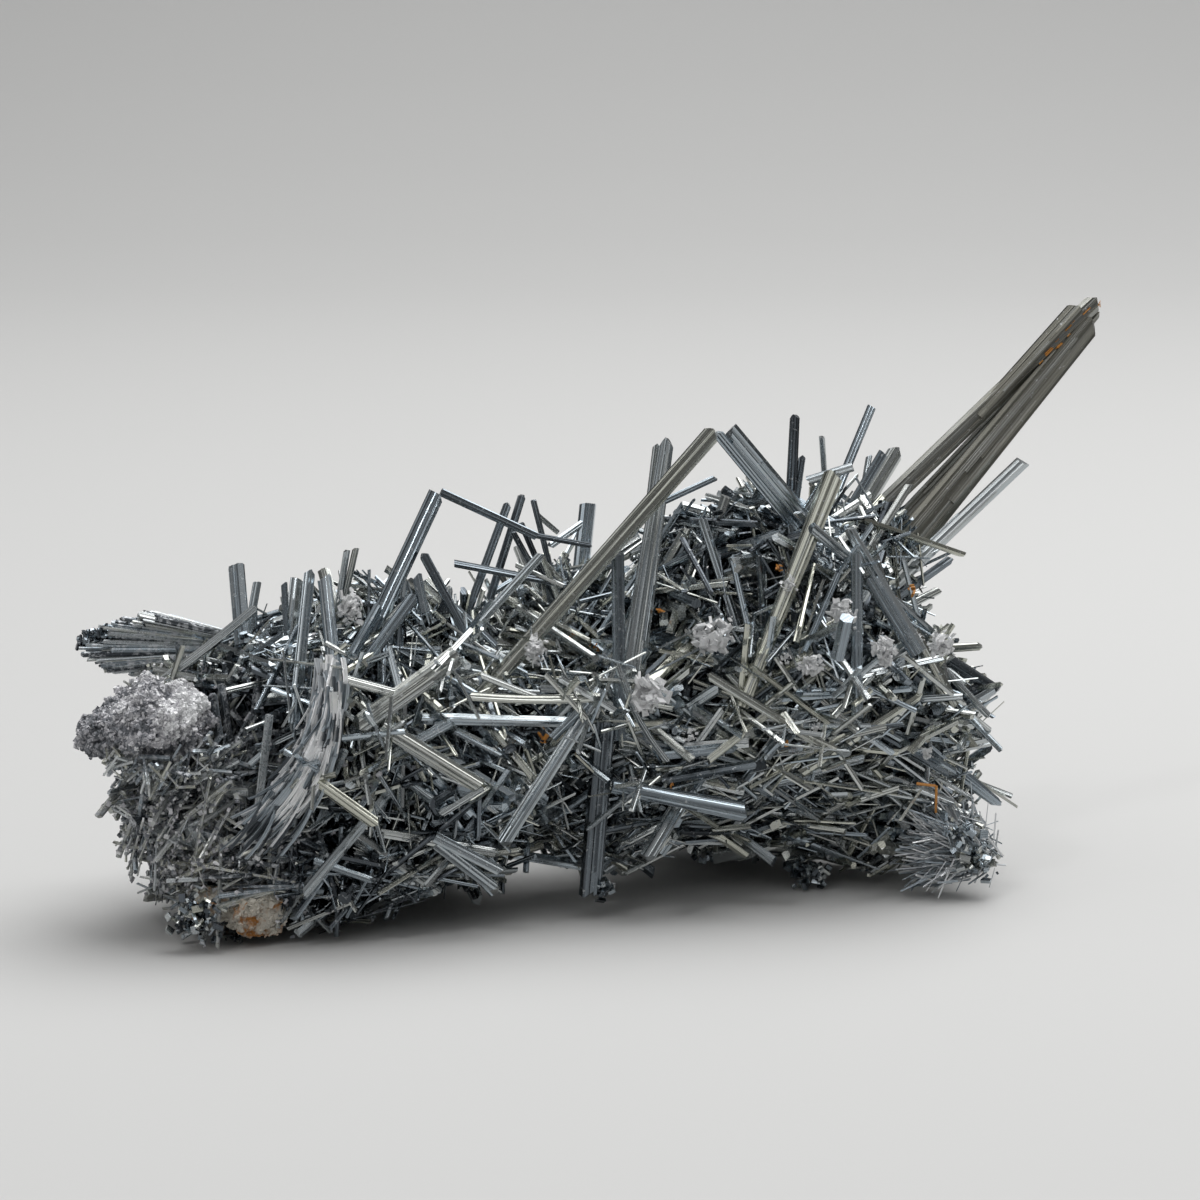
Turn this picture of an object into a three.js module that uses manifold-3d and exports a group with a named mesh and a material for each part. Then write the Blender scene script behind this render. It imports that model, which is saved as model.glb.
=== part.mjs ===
/**
 * Stibnite crystal spray: a cabinet specimen of metallic grey prisms and needles.
 *
 * Two lobes of jackstraw needles have grown together through a low saddle. Large striated
 * prisms stand on them and lie across them, with a sheaf of long blades at the upper right,
 * a flat fan of needles at the far left, a sugary crust, and small clear crystals.
 *
 * Units are millimetres, +Z is up, +X is to the viewer's right, and the viewer looks along +Y.
 * The specimen rests on the plane z = 0 on four low feet of the needle mass.
 */
import * as THREE from "three";
import { mergeVertices } from "three/addons/utils/BufferGeometryUtils.js";
import Module from "manifold-3d";

const wasm = await Module();
wasm.setup();

// ---------------------------------------------------------------- driving dimensions, mm

/** Clear distance between a crystal and the socket or neighbour around it. */
const GAP = 0.3;

/** Typical thickness of a prism as a share of its width. */
const FLATNESS = 0.7;

/** How far the surface of a needle lump rises and falls, as a share of its radius. */
const LUMP_ROUGHNESS = 0.09;

/** Stray prisms that have grown into the needle mass: how many, how long and how wide. */
const STRAY = { count: 22, reach: [2.5, 5.5], rooted: 3, width: [0.8, 1.5] };

/** The stray prisms stay inside this block, so that the named crystals set the overall size. */
const STRAY_LIMITS = new THREE.Box3(new THREE.Vector3(-45, -20, 1.2), new THREE.Vector3(37, 26, 39));

const FRONT = new THREE.Vector3(0, -1, 0);

const GREY = { color: 0x6a6d6c, roughness: 0.32, metalness: 1 };
const PALE_GREY = { color: 0x8d9296, roughness: 0.4, metalness: 0.8 };
const DARK_GREY = { color: 0x3f4345, roughness: 0.45, metalness: 0.9 };
const CLEAR = { color: 0xdfe3e4, roughness: 0.12, metalness: 0 };
const SUGARY = { color: 0xa7a6ab, roughness: 0.6, metalness: 0 };
const RUSTY = { color: 0xb9a58a, roughness: 0.85, metalness: 0 };
const ORANGE = { color: 0xc98a3a, roughness: 0.6, metalness: 0 };

/** Lumps of matted needles, as ellipsoids. The ones named foot reach below z = 0 and are cut there. */
const MASS_LUMPS = [
  { part: "left lobe", centre: [-25, -4, 16], radii: [17, 13, 12.5] },
  { part: "left lobe, crest", centre: [-19, -3, 25], radii: [8, 6, 6] },
  { part: "left lobe, outer end", centre: [-36, -8, 11], radii: [8.5, 9.5, 8.5] },
  { part: "left lobe, front foot", centre: [-28, -11, 6], radii: [14, 8, 6.6] },
  { part: "left lobe, inner end", centre: [-13, -8, 11], radii: [8, 6.5, 8.5] },
  { part: "left lobe, back", centre: [-22, 7, 10], radii: [13, 9, 10.6] },
  { part: "saddle", centre: [0, 1, 13], radii: [14, 8.5, 10.5] },
  { part: "saddle, back ridge", centre: [-4, 8, 21], radii: [8, 6, 10.5] },
  { part: "right lobe", centre: [15, 7, 18.5], radii: [17.5, 12, 15.5] },
  { part: "right lobe, crest", centre: [14, 8, 27], radii: [11, 7.5, 10.5] },
  { part: "right lobe, front foot", centre: [26.5, 9, 9.2], radii: [9.8, 9, 9.8] },
  { part: "right lobe, outer side", centre: [29, 7, 16.5], radii: [7.5, 7, 7] },
  { part: "right lobe, outer crest", centre: [24.5, 13, 27], radii: [6.5, 7, 9] },
  { part: "right lobe, back foot", centre: [12, 16, 10], radii: [11, 8.5, 10.6] },
];

/**
 * Single crystals. Each has the middle of its foot and of its tip, its width at the foot, and
 * where they differ from the usual: thick, taper (tip width over foot width), roll in degrees
 * about its length, and end, the cut of its termination.
 */
const CRYSTALS = [
  // Upper right, outside the long sheaf
  { name: "outer_right_prism", foot: [28, 12, 27.7], tip: [41, 20, 38.4], width: 1.6, end: "slant" },
  { name: "outer_right_small_prism", foot: [26, 10.6, 25], tip: [33.8, 15.4, 29.6], width: 1 },
  { name: "thin_upright_prism", foot: [22, 15, 34.7], tip: [26, 19, 43.6], width: 0.9, end: "flat" },
  { name: "back_slender_prism", foot: [22, 14, 31.5], tip: [27.1, 17.4, 39.4], width: 1, end: "flat" },
  { name: "back_pale_prism", foot: [24.5, 17.5, 33], tip: [29, 21, 39.7], width: 1.7 },

  // Peaks of the right lobe and the saddle
  { name: "long_diagonal_prism", foot: [-9.8, -7.3, 22], tip: [10.2, -1.4, 44], width: 1.5, taper: 1.15 },
  { name: "upright_prism", foot: [1.8, -6.4, 18], tip: [1.6, -2.4, 33.6], width: 1.3, end: "slant" },
  { name: "saddle_outer_prism", foot: [-13.6, 2.4, 23], tip: [-8.4, 6, 36.7], width: 0.8 },
  { name: "saddle_inner_prism", foot: [-10.9, 4, 25.5], tip: [-7.1, 7.4, 37.3], width: 0.9 },
  { name: "saddle_cross_prism", foot: [-4.6, 0.2, 30], tip: [-13.6, -0.2, 31.8], width: 0.8, end: "flat" },
  { name: "saddle_pale_prism", foot: [-12.3, -5, 25.7], tip: [-5, -0.7, 33.1], width: 1 },

  // Arch above the left lobe
  { name: "arch_prism", foot: [-20.6, -8.8, 27], tip: [-14.6, -2, 39.2], width: 1.6, end: "slant" },
  { name: "arch_inner_prism", foot: [-11.8, -7.4, 26], tip: [-16.3, -5, 34], width: 0.9 },
  { name: "left_top_fat_stub", foot: [-28.2, -5.5, 25], tip: [-27.6, -2, 30.9], width: 1.7, end: "flat" },
  { name: "left_tall_prism", foot: [-27.1, -16, 21.6], tip: [-26, -9.4, 33.4], width: 1.2 },
  { name: "left_bright_prism", foot: [-23.7, -14.6, 25], tip: [-24.8, -9.6, 32.8], width: 1.3, end: "slant" },
  { name: "left_dark_tip_prism", foot: [-22.2, -14.4, 23.6], tip: [-16.4, -8.4, 30.8], width: 1.2 },
  { name: "left_blue_prism", foot: [-23.2, -13.2, 24], tip: [-19.8, -9.2, 29.7], width: 1.2, end: "flat" },
  { name: "left_long_slender_prism", foot: [-40, -10.4, 22.6], tip: [-30.7, -7.6, 29.4], width: 0.9 },

  // Front face of the right lobe
  { name: "great_front_prism", foot: [13.5, -4.4, 20.6], tip: [21.9, 2.6, 40.5], width: 1.25, taper: 1.65 },
  { name: "crossing_prism", foot: [23.4, 2.4, 31.4], tip: [19, -2, 35.7], width: 1.1, end: "slant" },
  { name: "right_upright_prism", foot: [23.5, -4.6, 19.8], tip: [23.6, 0.6, 33], width: 1.1, end: "slant" },
  { name: "slope_prism", foot: [14, -0.8, 21.5], tip: [9.3, 4.6, 35.6], width: 0.9 },
  { name: "low_slope_prism", foot: [18.8, -5.6, 16.8], tip: [9.4, -6.4, 22.9], width: 0.9 },
  { name: "right_edge_prism", foot: [31, 4.6, 22], tip: [36.6, 3.6, 16.2], width: 0.8 },
  { name: "right_edge_blade", foot: [33, 8, 10.8], tip: [38.4, 8.6, 6.4], width: 1.7, thick: 0.7, taper: 0.5 },

  // Front of the saddle
  { name: "front_lying_prism", foot: [2.6, -8.3, 12.4], tip: [14.3, -7.6, 9.9], width: 1.5, taper: 1.5 },
  { name: "front_down_prism", foot: [8, -4.6, 11.4], tip: [3.9, -10.2, 5.9], width: 1.5, end: "slant" },
  { name: "foot_blade", foot: [0.3, -6.6, 17], tip: [-1, -7.6, 1.4], width: 2.1, thick: 1.3, end: "slant" },
  { name: "foot_diagonal_prism", foot: [-0.7, -8.4, 20.4], tip: [-9.2, -14, 8], width: 1.4, taper: 1.15 },
  { name: "front_cross_prism", foot: [-1.8, -9.6, 21.2], tip: [-12.2, -13, 22.1], width: 0.9 },
  { name: "curved_slender_blade", foot: [2.2, -8.8, 23], tip: [6.3, -9.8, 15], width: 0.6 },

  // Front of the left lobe
  { name: "left_double_ridge_prism", foot: [-14, -13.6, 25], tip: [-22.4, -17.6, 19.6], width: 2 },
  { name: "left_broad_prism", foot: [-18.2, -17, 19.5], tip: [-10.2, -15.4, 14], width: 1.7, end: "slant" },
  { name: "left_flat_prism", foot: [-25.3, -19, 15.8], tip: [-19.2, -19.6, 11.4], width: 1.2, thick: 0.7 },
];

/** Crystals that touch or cross where they grew, each group joined in one solid. */
const CRYSTAL_GROUPS = [
  {
    name: "long_blade_sheaf",
    members: [
      { foot: [24.6, 15, 32], tip: [48.4, 27, 52.9], width: 1.8, thick: 1 },
      { foot: [26.6, 13.4, 28], tip: [47.6, 26.2, 50.6], width: 3.2, thick: 1.2, taper: 0.7 },
      { foot: [31, 19.6, 34.8], tip: [48.4, 27.6, 51.6], width: 1.8, thick: 1.2, taper: 0.8 },
    ],
  },
  {
    name: "peak_prism_pair",
    members: [
      { foot: [19.2, 5, 34.6], tip: [11.6, 2.4, 44], width: 1.7, end: "slant" },
      { foot: [18.2, 4.4, 34.2], tip: [10.9, 1.7, 43.4], width: 1 },
    ],
  },
  {
    name: "tall_upright_blade",
    members: [
      { foot: [2.6, -2.9, 20], tip: [6.3, 4.8, 43.2], width: 2.5, thick: 1.2, taper: 0.52 },
      { foot: [4.4, 2.4, 35], tip: [5.3, 4.6, 42.4], width: 0.8 },
    ],
  },
  {
    name: "top_prong_pair",
    members: [
      { foot: [17.7, 6.8, 34.5], tip: [18.2, 9, 44.4], width: 1.1, taper: 0.85 },
      { foot: [18, 6.8, 34.5], tip: [18.9, 8.4, 40.6], width: 0.7 },
    ],
  },
  {
    name: "arch_slender_bar",
    members: [
      { foot: [-13.2, 0.2, 37.6], tip: [-5.8, 1, 34.05], width: 0.8, end: "flat" },
      { foot: [-6.4, 0.9, 34.25], tip: [-0.6, 3, 32.8], width: 0.6 },
    ],
  },
  {
    name: "saddle_needle_fan",
    members: [
      { foot: [-3.6, 1.6, 27], tip: [-6.2, 4.2, 37.1], width: 0.6 },
      { foot: [-3.8, 1.5, 27], tip: [-7.4, 3.4, 35.1], width: 0.6 },
      { foot: [-4, 1.4, 27], tip: [-8.1, 2, 34.5], width: 0.6 },
    ],
  },
  {
    name: "back_fat_stub_pair",
    members: [
      { foot: [-2, 9.6, 27.5], tip: [-1.1, 13, 35.4], width: 1.7, end: "flat" },
      { foot: [-1.3, 12, 33.6], tip: [-4.9, 9.2, 31.5], width: 0.7 },
    ],
  },
  {
    name: "right_flank_blades",
    members: [
      { foot: [29.6, -0.6, 23.6], tip: [22.8, 2.6, 34.8], width: 1.1 },
      { foot: [29.2, -1, 23.4], tip: [24.6, 0.6, 30.7], width: 1.4 },
    ],
  },
  {
    name: "left_low_pair",
    members: [
      { foot: [-14.6, -15, 8.9], tip: [-9.2, -14, 4.4], width: 1.1 },
      { foot: [-14.8, -15.3, 9.7], tip: [-8.6, -14.4, 6.1], width: 1 },
    ],
  },
  {
    name: "left_top_stub_pair",
    members: [
      { foot: [-32.4, -6.8, 25.5], tip: [-33.2, -3, 32.4], width: 1.6, end: "flat" },
      { foot: [-32.1, -6.4, 25.5], tip: [-31.2, -4, 30.9], width: 0.8, end: "flat" },
    ],
  },
];

/** The flat fan at the far left: needles that spread from one root towards -X. */
const FAN = {
  root: [-32.5, -3.4, 24.2],
  needles: 8,
  length: [15.8, 9.2],
  rise: [0.5, 15, -14],
  spreadBack: 3.2,
  width: 1.1,
  crestBead: 0.75,
};

/** The silky bundle at the front of the left lobe: flat blades side by side that bend as they fall. */
const SILKY_BUNDLE = {
  blades: 3,
  spacing: 1,
  width: 1.5,
  top: [-25.2, -16.6, 24.6],
  bend: [-27.1, -20.2, 17.6],
  toe: [-31, -19.6, 12.2],
};

/** Crusts of very fine grains, as ellipsoids. */
const SUGARY_LUMPS = [
  { centre: [-41.3, -12.6, 19.4], radii: [6.6, 6.2, 4.7] },
  { centre: [-36.9, -15.2, 20.8], radii: [3.2, 3, 3.6] },
];
const MATRIX_LUMPS = [
  { centre: [-30.6, -17, 3.2], radii: [3.1, 2.6, 2.4] },
  { centre: [-35.4, -16.4, 3.8], radii: [2.8, 2.2, 1.9] },
];

/** Small clear crystals, as clusters of tabular blocks: middle, size of the largest block, how many. */
const CLEAR_CLUSTERS = [
  { name: "clear_crystals_upper_right", at: [22.2, -3, 27.6], size: [1.8, 1.1, 1.8], blocks: 3 },
  { name: "clear_crystals_right", at: [26, -4.4, 24.6], size: [2.1, 1, 1.8], blocks: 3 },
  { name: "clear_crystals_right_edge", at: [31.5, -0.6, 24], size: [2, 1, 1.5], blocks: 3 },
  { name: "clear_crystals_middle", at: [10.4, -5.2, 25.9], size: [2.9, 1.3, 2.1], blocks: 3 },
  { name: "clear_crystals_lower_middle", at: [19.2, -6, 23.2], size: [1.8, 1, 1.5], blocks: 3 },
  { name: "clear_crystal_block", at: [4.5, -9.4, 21.8], size: [2.4, 1.6, 2.5], blocks: 3 },
  { name: "clear_crystals_saddle", at: [-5.8, -9, 25.1], size: [1.9, 1.1, 1.6], blocks: 3 },
  { name: "clear_crystals_left", at: [-22.2, -12.4, 30.2], size: [1.5, 1, 2.3], blocks: 3 },
];

/** The bent orange sliver low on the right lobe. */
const ORANGE_SLIVER = {
  width: 0.7,
  members: [
    { foot: [29.3, -0.6, 11.1], tip: [31, -0.8, 10.8] },
    { foot: [30.8, -0.8, 11], tip: [31, -0.6, 8.3] },
  ],
};

// ---------------------------------------------------------------- helpers

/** A repeatable random source, so that each build gives the same specimen. */
function randomSource(seed) {
  let state = seed;
  return () => {
    state = (state + 0x6d2b79f5) | 0;
    let mixed = Math.imul(state ^ (state >>> 15), 1 | state);
    mixed = (mixed + Math.imul(mixed ^ (mixed >>> 7), 61 | mixed)) ^ mixed;
    return ((mixed ^ (mixed >>> 14)) >>> 0) / 4294967296;
  };
}

function vector(point) {
  return new THREE.Vector3(...point);
}

function between(random, [low, high]) {
  return low + (high - low) * random();
}

function randomDirection(random) {
  const height = 2 * random() - 1;
  const angle = 2 * Math.PI * random();
  const radius = Math.sqrt(1 - height * height);
  return new THREE.Vector3(radius * Math.cos(angle), radius * Math.sin(angle), height);
}

/** A closed geometry as a solid that can be joined and cut. */
function solidOf(geometry, matrix = new THREE.Matrix4()) {
  const bare = geometry.clone().applyMatrix4(matrix);
  bare.deleteAttribute("normal");
  bare.deleteAttribute("uv");
  const merged = mergeVertices(bare, 1e-4);
  return new wasm.Manifold(new wasm.Mesh({
    numProp: 3,
    vertProperties: Float32Array.from(merged.attributes.position.array),
    triVerts: Uint32Array.from(merged.index.array),
  }));
}

function geometryOf(solid) {
  const mesh = solid.getMesh();
  const geometry = new THREE.BufferGeometry();
  geometry.setAttribute("position", new THREE.BufferAttribute(mesh.vertProperties, 3));
  geometry.setIndex(new THREE.BufferAttribute(mesh.triVerts, 1));
  geometry.computeVertexNormals();
  return geometry;
}

/** An upright block that clears a small or many-pointed solid by the gap on every side. */
function blockRoom(solid) {
  const { min, max } = solid.boundingBox();
  const [x, y, z] = max.map((high, side) => high - min[side] + 2 * GAP);
  const middle = max.map((high, side) => (high + min[side]) / 2);
  return solidOf(new THREE.BoxGeometry(x, y, z).translate(...middle));
}

function joined(solids) {
  return solids.reduce((whole, solid) => whole.add(solid));
}

/** The largest closed body of a solid, without the splinters that a cut can leave. */
function mainBody(solid) {
  const bodies = solid.decompose();
  return bodies.reduce((best, body) => (body.volume() > best.volume() ? body : best));
}

function mesh(name, geometry, finish) {
  const material = new THREE.MeshStandardMaterial({ ...finish, flatShading: true });
  const piece = new THREE.Mesh(geometry, material);
  piece.name = name;
  return piece;
}

// ---------------------------------------------------------------- crystals

/**
 * Cross-section of a striated prism: a flattened form with bevelled edges and a shallow step
 * along each broad face. The second half of the outline is the first turned half way round.
 */
function prismSection(width, thick) {
  const half = [[1, -0.15], [0.93, 0.4], [0.62, 0.95], [0.1, 1], [-0.05, 0.84], [-0.55, 0.88]];
  const outline = [...half, ...half.map(([x, y]) => [-x, -y])];
  return new THREE.Shape(outline.map(([x, y]) => new THREE.Vector2((x * width) / 2, (y * thick) / 2)));
}

/** Cross-section of a smaller crystal in a group: a flattened hexagon. */
function hexagonSection(width, thick) {
  const outline = [[1, 0], [0.6, 1], [-0.6, 1], [-1, 0], [-0.6, -1], [0.6, -1]];
  return new THREE.Shape(outline.map(([x, y]) => new THREE.Vector2((x * width) / 2, (y * thick) / 2)));
}

/** A prism along +Z from its foot at the origin, widening or narrowing evenly to its tip. */
function prismGeometry(section, length, taper) {
  const geometry = new THREE.ExtrudeGeometry(section, { depth: length, bevelEnabled: false });
  const place = geometry.attributes.position;
  for (let i = 0; i < place.count; i += 1) {
    const scale = 1 + ((taper - 1) * place.getZ(i)) / length;
    place.setXY(i, place.getX(i) * scale, place.getY(i) * scale);
  }
  return geometry;
}

/** The frame of a crystal: +Z from foot to tip, and +Y as near to the viewer as the roll lets it be. */
function crystalFrame(foot, tip, roll) {
  const along = vector(tip).sub(vector(foot)).normalize();
  const facing = FRONT.clone().addScaledVector(along, -FRONT.dot(along)).normalize();
  facing.applyAxisAngle(along, THREE.MathUtils.degToRad(roll));
  const across = new THREE.Vector3().crossVectors(facing, along);
  return new THREE.Matrix4().makeBasis(across, facing, along).setPosition(vector(foot));
}

/** Cuts a flat face across the tip: it leans by slope from square, towards the side at turn. */
function cutTip(solid, length, slope, turn) {
  const size = 20;
  const block = new THREE.BoxGeometry(size, size, size).translate(0, 0, size / 2);
  const lean = new THREE.Matrix4().makeRotationX(THREE.MathUtils.degToRad(slope));
  const place = new THREE.Matrix4().makeRotationZ(THREE.MathUtils.degToRad(turn)).multiply(lean);
  place.premultiply(new THREE.Matrix4().makeTranslation(0, 0, length));
  return solid.subtract(solidOf(block, place));
}

/** Terminations seen on stibnite: a two-sided chisel, one slanted face, or a nearly square break. */
const TERMINATIONS = {
  chisel: [{ slope: 42, turn: 75 }, { slope: 34, turn: 255 }],
  slant: [{ slope: 38, turn: 100 }, { slope: 12, turn: 10 }],
  flat: [{ slope: 9, turn: 60 }],
};

/** One crystal as a solid in its own frame. */
function crystalSolid({ foot, tip, width, thick = width * FLATNESS, taper = 1, end = "chisel" }, section) {
  const length = vector(foot).distanceTo(vector(tip));
  let solid = solidOf(prismGeometry(section(width, thick), length, taper));
  for (const { slope, turn } of TERMINATIONS[end]) {
    const drop = (end === "flat" ? 0.1 : 0.25) * width * taper;
    solid = cutTip(solid, length - drop, slope, turn);
  }
  return solid;
}

/** The room a crystal takes in its neighbours: its whole prism, larger by the gap on every side. */
function crystalSocket({ foot, tip, width, thick = width * FLATNESS, taper = 1, roll = 0 }) {
  const length = vector(foot).distanceTo(vector(tip)) + 2 * GAP;
  const widest = Math.max(1, taper);
  const room = new THREE.BoxGeometry(width * widest + 2 * GAP, thick * widest + 2 * GAP, length);
  room.translate(0, 0, length / 2 - GAP);
  return solidOf(room, crystalFrame(foot, tip, roll));
}

/** A single crystal, placed by its own position and rotation. */
function singleCrystal(crystal) {
  const piece = mesh(crystal.name, geometryOf(crystalSolid(crystal, prismSection)), GREY);
  crystalFrame(crystal.foot, crystal.tip, crystal.roll ?? 0).decompose(piece.position, piece.quaternion, piece.scale);
  return piece;
}

function placedCrystal(crystal) {
  const frame = crystalFrame(crystal.foot, crystal.tip, crystal.roll ?? 0);
  return solidOf(geometryOf(crystalSolid(crystal, hexagonSection)), frame);
}

/** Crystals that grew through each other, as one solid. */
function crystalGroup(members) {
  return joined(members.map(placedCrystal));
}

/** The members of the fan: evenly spread needles whose tips run along a shallow curve. */
function fanMembers() {
  const [longest, shortest] = FAN.length;
  const [middle, highest, lowest] = FAN.rise;
  return Array.from({ length: FAN.needles }, (_, i) => {
    const share = i / (FAN.needles - 1);
    const side = 2 * share - 1;
    const rise = THREE.MathUtils.degToRad(side > 0 ? middle + side * highest : middle - side * lowest);
    const length = longest + (shortest - longest) * Math.abs(side) ** 1.5;
    const reach = new THREE.Vector3(-Math.cos(rise), 0, Math.sin(rise)).multiplyScalar(length);
    reach.y = FAN.spreadBack * Math.sin(i * 2.4) * 0.4 + 1.4;
    const tip = vector(FAN.root).add(reach);
    return { foot: FAN.root, tip: tip.toArray(), width: FAN.width, end: i % 2 ? "slant" : "flat" };
  });
}

/** The blades of the silky bundle: each falls from the top to the bend, then turns to the toe. */
function silkyMembers() {
  const members = [];
  for (let i = 0; i < SILKY_BUNDLE.blades; i += 1) {
    const shift = (i - (SILKY_BUNDLE.blades - 1) / 2) * SILKY_BUNDLE.spacing;
    const moved = ([x, y, z], share) => [x + shift, y + 0.25 * (i % 2), z + shift * share];
    const [top, bend, toe] = [
      moved(SILKY_BUNDLE.top, 0.2),
      moved(SILKY_BUNDLE.bend, -0.3),
      moved(SILKY_BUNDLE.toe, -0.9),
    ];
    const overlap = 0.08;
    const early = vector(bend).lerp(vector(top), overlap).toArray();
    members.push({ foot: top, tip: bend, width: SILKY_BUNDLE.width, end: "flat" });
    members.push({ foot: early, tip: toe, width: SILKY_BUNDLE.width, end: "slant" });
  }
  return members;
}

// ---------------------------------------------------------------- lumps and blocks

/** A rough ellipsoid. Its surface rises and falls by waves that depend only on the direction. */
function lumpSolid({ centre, radii }, { grow = 0, roughness = LUMP_ROUGHNESS, detail = 2 } = {}) {
  const geometry = new THREE.IcosahedronGeometry(1, detail);
  const place = geometry.attributes.position;
  const [cx, cy, cz] = centre;
  for (let i = 0; i < place.count; i += 1) {
    const way = new THREE.Vector3().fromBufferAttribute(place, i);
    const wave = Math.sin(7.1 * way.x + cx) * Math.sin(6.3 * way.y + cy) + 0.6 * Math.sin(11 * way.z + cz);
    const scale = 1 + roughness * wave;
    place.setXYZ(
      i,
      cx + way.x * (radii[0] * scale + grow),
      cy + way.y * (radii[1] * scale + grow),
      cz + way.z * (radii[2] * scale + grow),
    );
  }
  return solidOf(geometry);
}

/** Tabular blocks of falling size around one middle, turned at random, joined in one solid. */
function blockCluster({ at, size, blocks }, seed) {
  const random = randomSource(seed);
  const solids = Array.from({ length: blocks }, (_, i) => {
    const scale = 1 - 0.14 * i;
    const [x, y, z] = size.map((side) => side * scale);
    const turn = new THREE.Euler(random() * 1.2, random() * 3, random() * 3);
    const shift = randomDirection(random).multiply(vector(size)).multiplyScalar(i ? 0.42 : 0);
    const place = new THREE.Matrix4().makeRotationFromEuler(turn).setPosition(vector(at).add(shift));
    return solidOf(new THREE.BoxGeometry(x, y, z), place);
  });
  return joined(solids);
}

/** Prisms that have grown into the lumps at all angles, rooted below the surface. */
function strayPrisms() {
  const random = randomSource(11);
  const strays = [];
  while (strays.length < STRAY.count) {
    const lump = MASS_LUMPS[Math.floor(random() * MASS_LUMPS.length)];
    const outward = randomDirection(random);
    const surface = outward.clone().multiply(vector(lump.radii)).add(vector(lump.centre));
    const along = randomDirection(random).addScaledVector(outward, 0.8).normalize();
    const foot = surface.clone().addScaledVector(along, -STRAY.rooted);
    const tip = surface.clone().addScaledVector(along, between(random, STRAY.reach));
    const width = between(random, STRAY.width);
    if (STRAY_LIMITS.containsPoint(tip) && STRAY_LIMITS.containsPoint(foot)) {
      strays.push({ foot: foot.toArray(), tip: tip.toArray(), width });
    }
  }
  return strays.map(({ foot, tip, width }) => {
    const length = vector(foot).distanceTo(vector(tip));
    const column = new THREE.CylinderGeometry(width / 2, width / 2, length, 5);
    column.rotateX(Math.PI / 2).translate(0, 0, length / 2);
    return solidOf(column, crystalFrame(foot, tip, 0));
  });
}

// ---------------------------------------------------------------- the specimen

const ground = solidOf(new THREE.BoxGeometry(200, 200, 40).translate(0, 0, -20));
const fan = fanMembers();
const silky = silkyMembers();
const orange = ORANGE_SLIVER.members.map((member) => ({ ...member, width: ORANGE_SLIVER.width, end: "flat" }));
const rooms = [
  ...CRYSTALS.map(crystalSocket),
  ...CRYSTAL_GROUPS.flatMap((group) => group.members.map(crystalSocket)),
  ...silky.map(crystalSocket),
];

const pieces = CRYSTALS.map(singleCrystal);
for (const { name, members } of CRYSTAL_GROUPS) {
  pieces.push(mesh(name, geometryOf(crystalGroup(members)), GREY));
}
pieces.push(mesh("silky_blade_bundle", geometryOf(crystalGroup(silky)), PALE_GREY));
for (const [name, members, finish] of [["needle_fan", fan, DARK_GREY], ["orange_sliver", orange, ORANGE]]) {
  const body = crystalGroup(members);
  pieces.push(mesh(name, geometryOf(body), finish));
  rooms.push(blockRoom(body));
}

/** Crusts and clear clusters sit against the prisms, so the prisms' rooms are cut from them. */
const prismRooms = joined(rooms);
CLEAR_CLUSTERS.forEach((cluster, i) => {
  const body = mainBody(blockCluster(cluster, 40 + i).subtract(prismRooms));
  pieces.push(mesh(cluster.name, geometryOf(body), CLEAR));
  rooms.push(blockRoom(body));
});
const crustCut = { roughness: 0.1, detail: 1 };
for (const [name, lumps, finish] of [
  ["sugary_crust", SUGARY_LUMPS, SUGARY],
  ["matrix_patch", MATRIX_LUMPS, RUSTY],
]) {
  const body = mainBody(joined(lumps.map((lump) => lumpSolid(lump, crustCut))).subtract(prismRooms));
  pieces.push(mesh(name, geometryOf(body), finish));
  rooms.push(...lumps.map((lump) => lumpSolid(lump, { ...crustCut, grow: GAP })));
}

const needleMass = mainBody(
  joined([...MASS_LUMPS.map((lump) => lumpSolid(lump)), ...strayPrisms()])
    .subtract(joined([ground, ...rooms])),
);
pieces.push(mesh("needle_mass", geometryOf(needleMass), DARK_GREY));

/** The origin is put under the middle of the whole specimen, on the plane it rests on. */
const spray = new THREE.Group();
spray.name = "stibnite_crystal_spray";
spray.add(...pieces);
spray.updateMatrixWorld(true);
const middle = new THREE.Box3().setFromObject(spray).getCenter(new THREE.Vector3());
spray.position.set(-middle.x, -middle.y, 0);

export default spray;
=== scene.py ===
"""Looks of a stibnite crystal spray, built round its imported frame.

Each large prism is measured on its frame node and rebuilt with grooved faces and a cut tip. The
needle mass is rebuilt as separate needles that fill and cover the frame's solid.
"""

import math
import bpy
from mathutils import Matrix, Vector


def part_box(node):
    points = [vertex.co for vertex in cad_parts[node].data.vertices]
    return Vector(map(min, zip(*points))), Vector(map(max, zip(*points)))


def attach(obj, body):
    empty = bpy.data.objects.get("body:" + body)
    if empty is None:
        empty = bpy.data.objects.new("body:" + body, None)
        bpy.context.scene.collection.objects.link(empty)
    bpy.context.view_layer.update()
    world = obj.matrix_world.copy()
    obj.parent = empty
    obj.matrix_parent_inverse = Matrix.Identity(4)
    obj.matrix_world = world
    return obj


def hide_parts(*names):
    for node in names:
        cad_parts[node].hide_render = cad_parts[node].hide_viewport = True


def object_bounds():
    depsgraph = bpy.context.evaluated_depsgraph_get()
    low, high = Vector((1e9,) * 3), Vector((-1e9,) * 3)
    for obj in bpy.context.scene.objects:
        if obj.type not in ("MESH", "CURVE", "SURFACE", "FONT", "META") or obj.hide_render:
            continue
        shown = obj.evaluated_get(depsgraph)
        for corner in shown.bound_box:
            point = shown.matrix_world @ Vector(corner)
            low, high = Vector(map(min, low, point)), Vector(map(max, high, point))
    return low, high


bl_info = {
    "name": "Stibnite crystal spray",
    "version": (1, 0, 0),
    "blender": (4, 5, 0),
    "location": "View3D > Sidebar > Stibnite",
    "description": "Builds striated prisms, jackstraw needles, crusts and clear crystals on a frame",
    "category": "Add Mesh",
}

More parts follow.
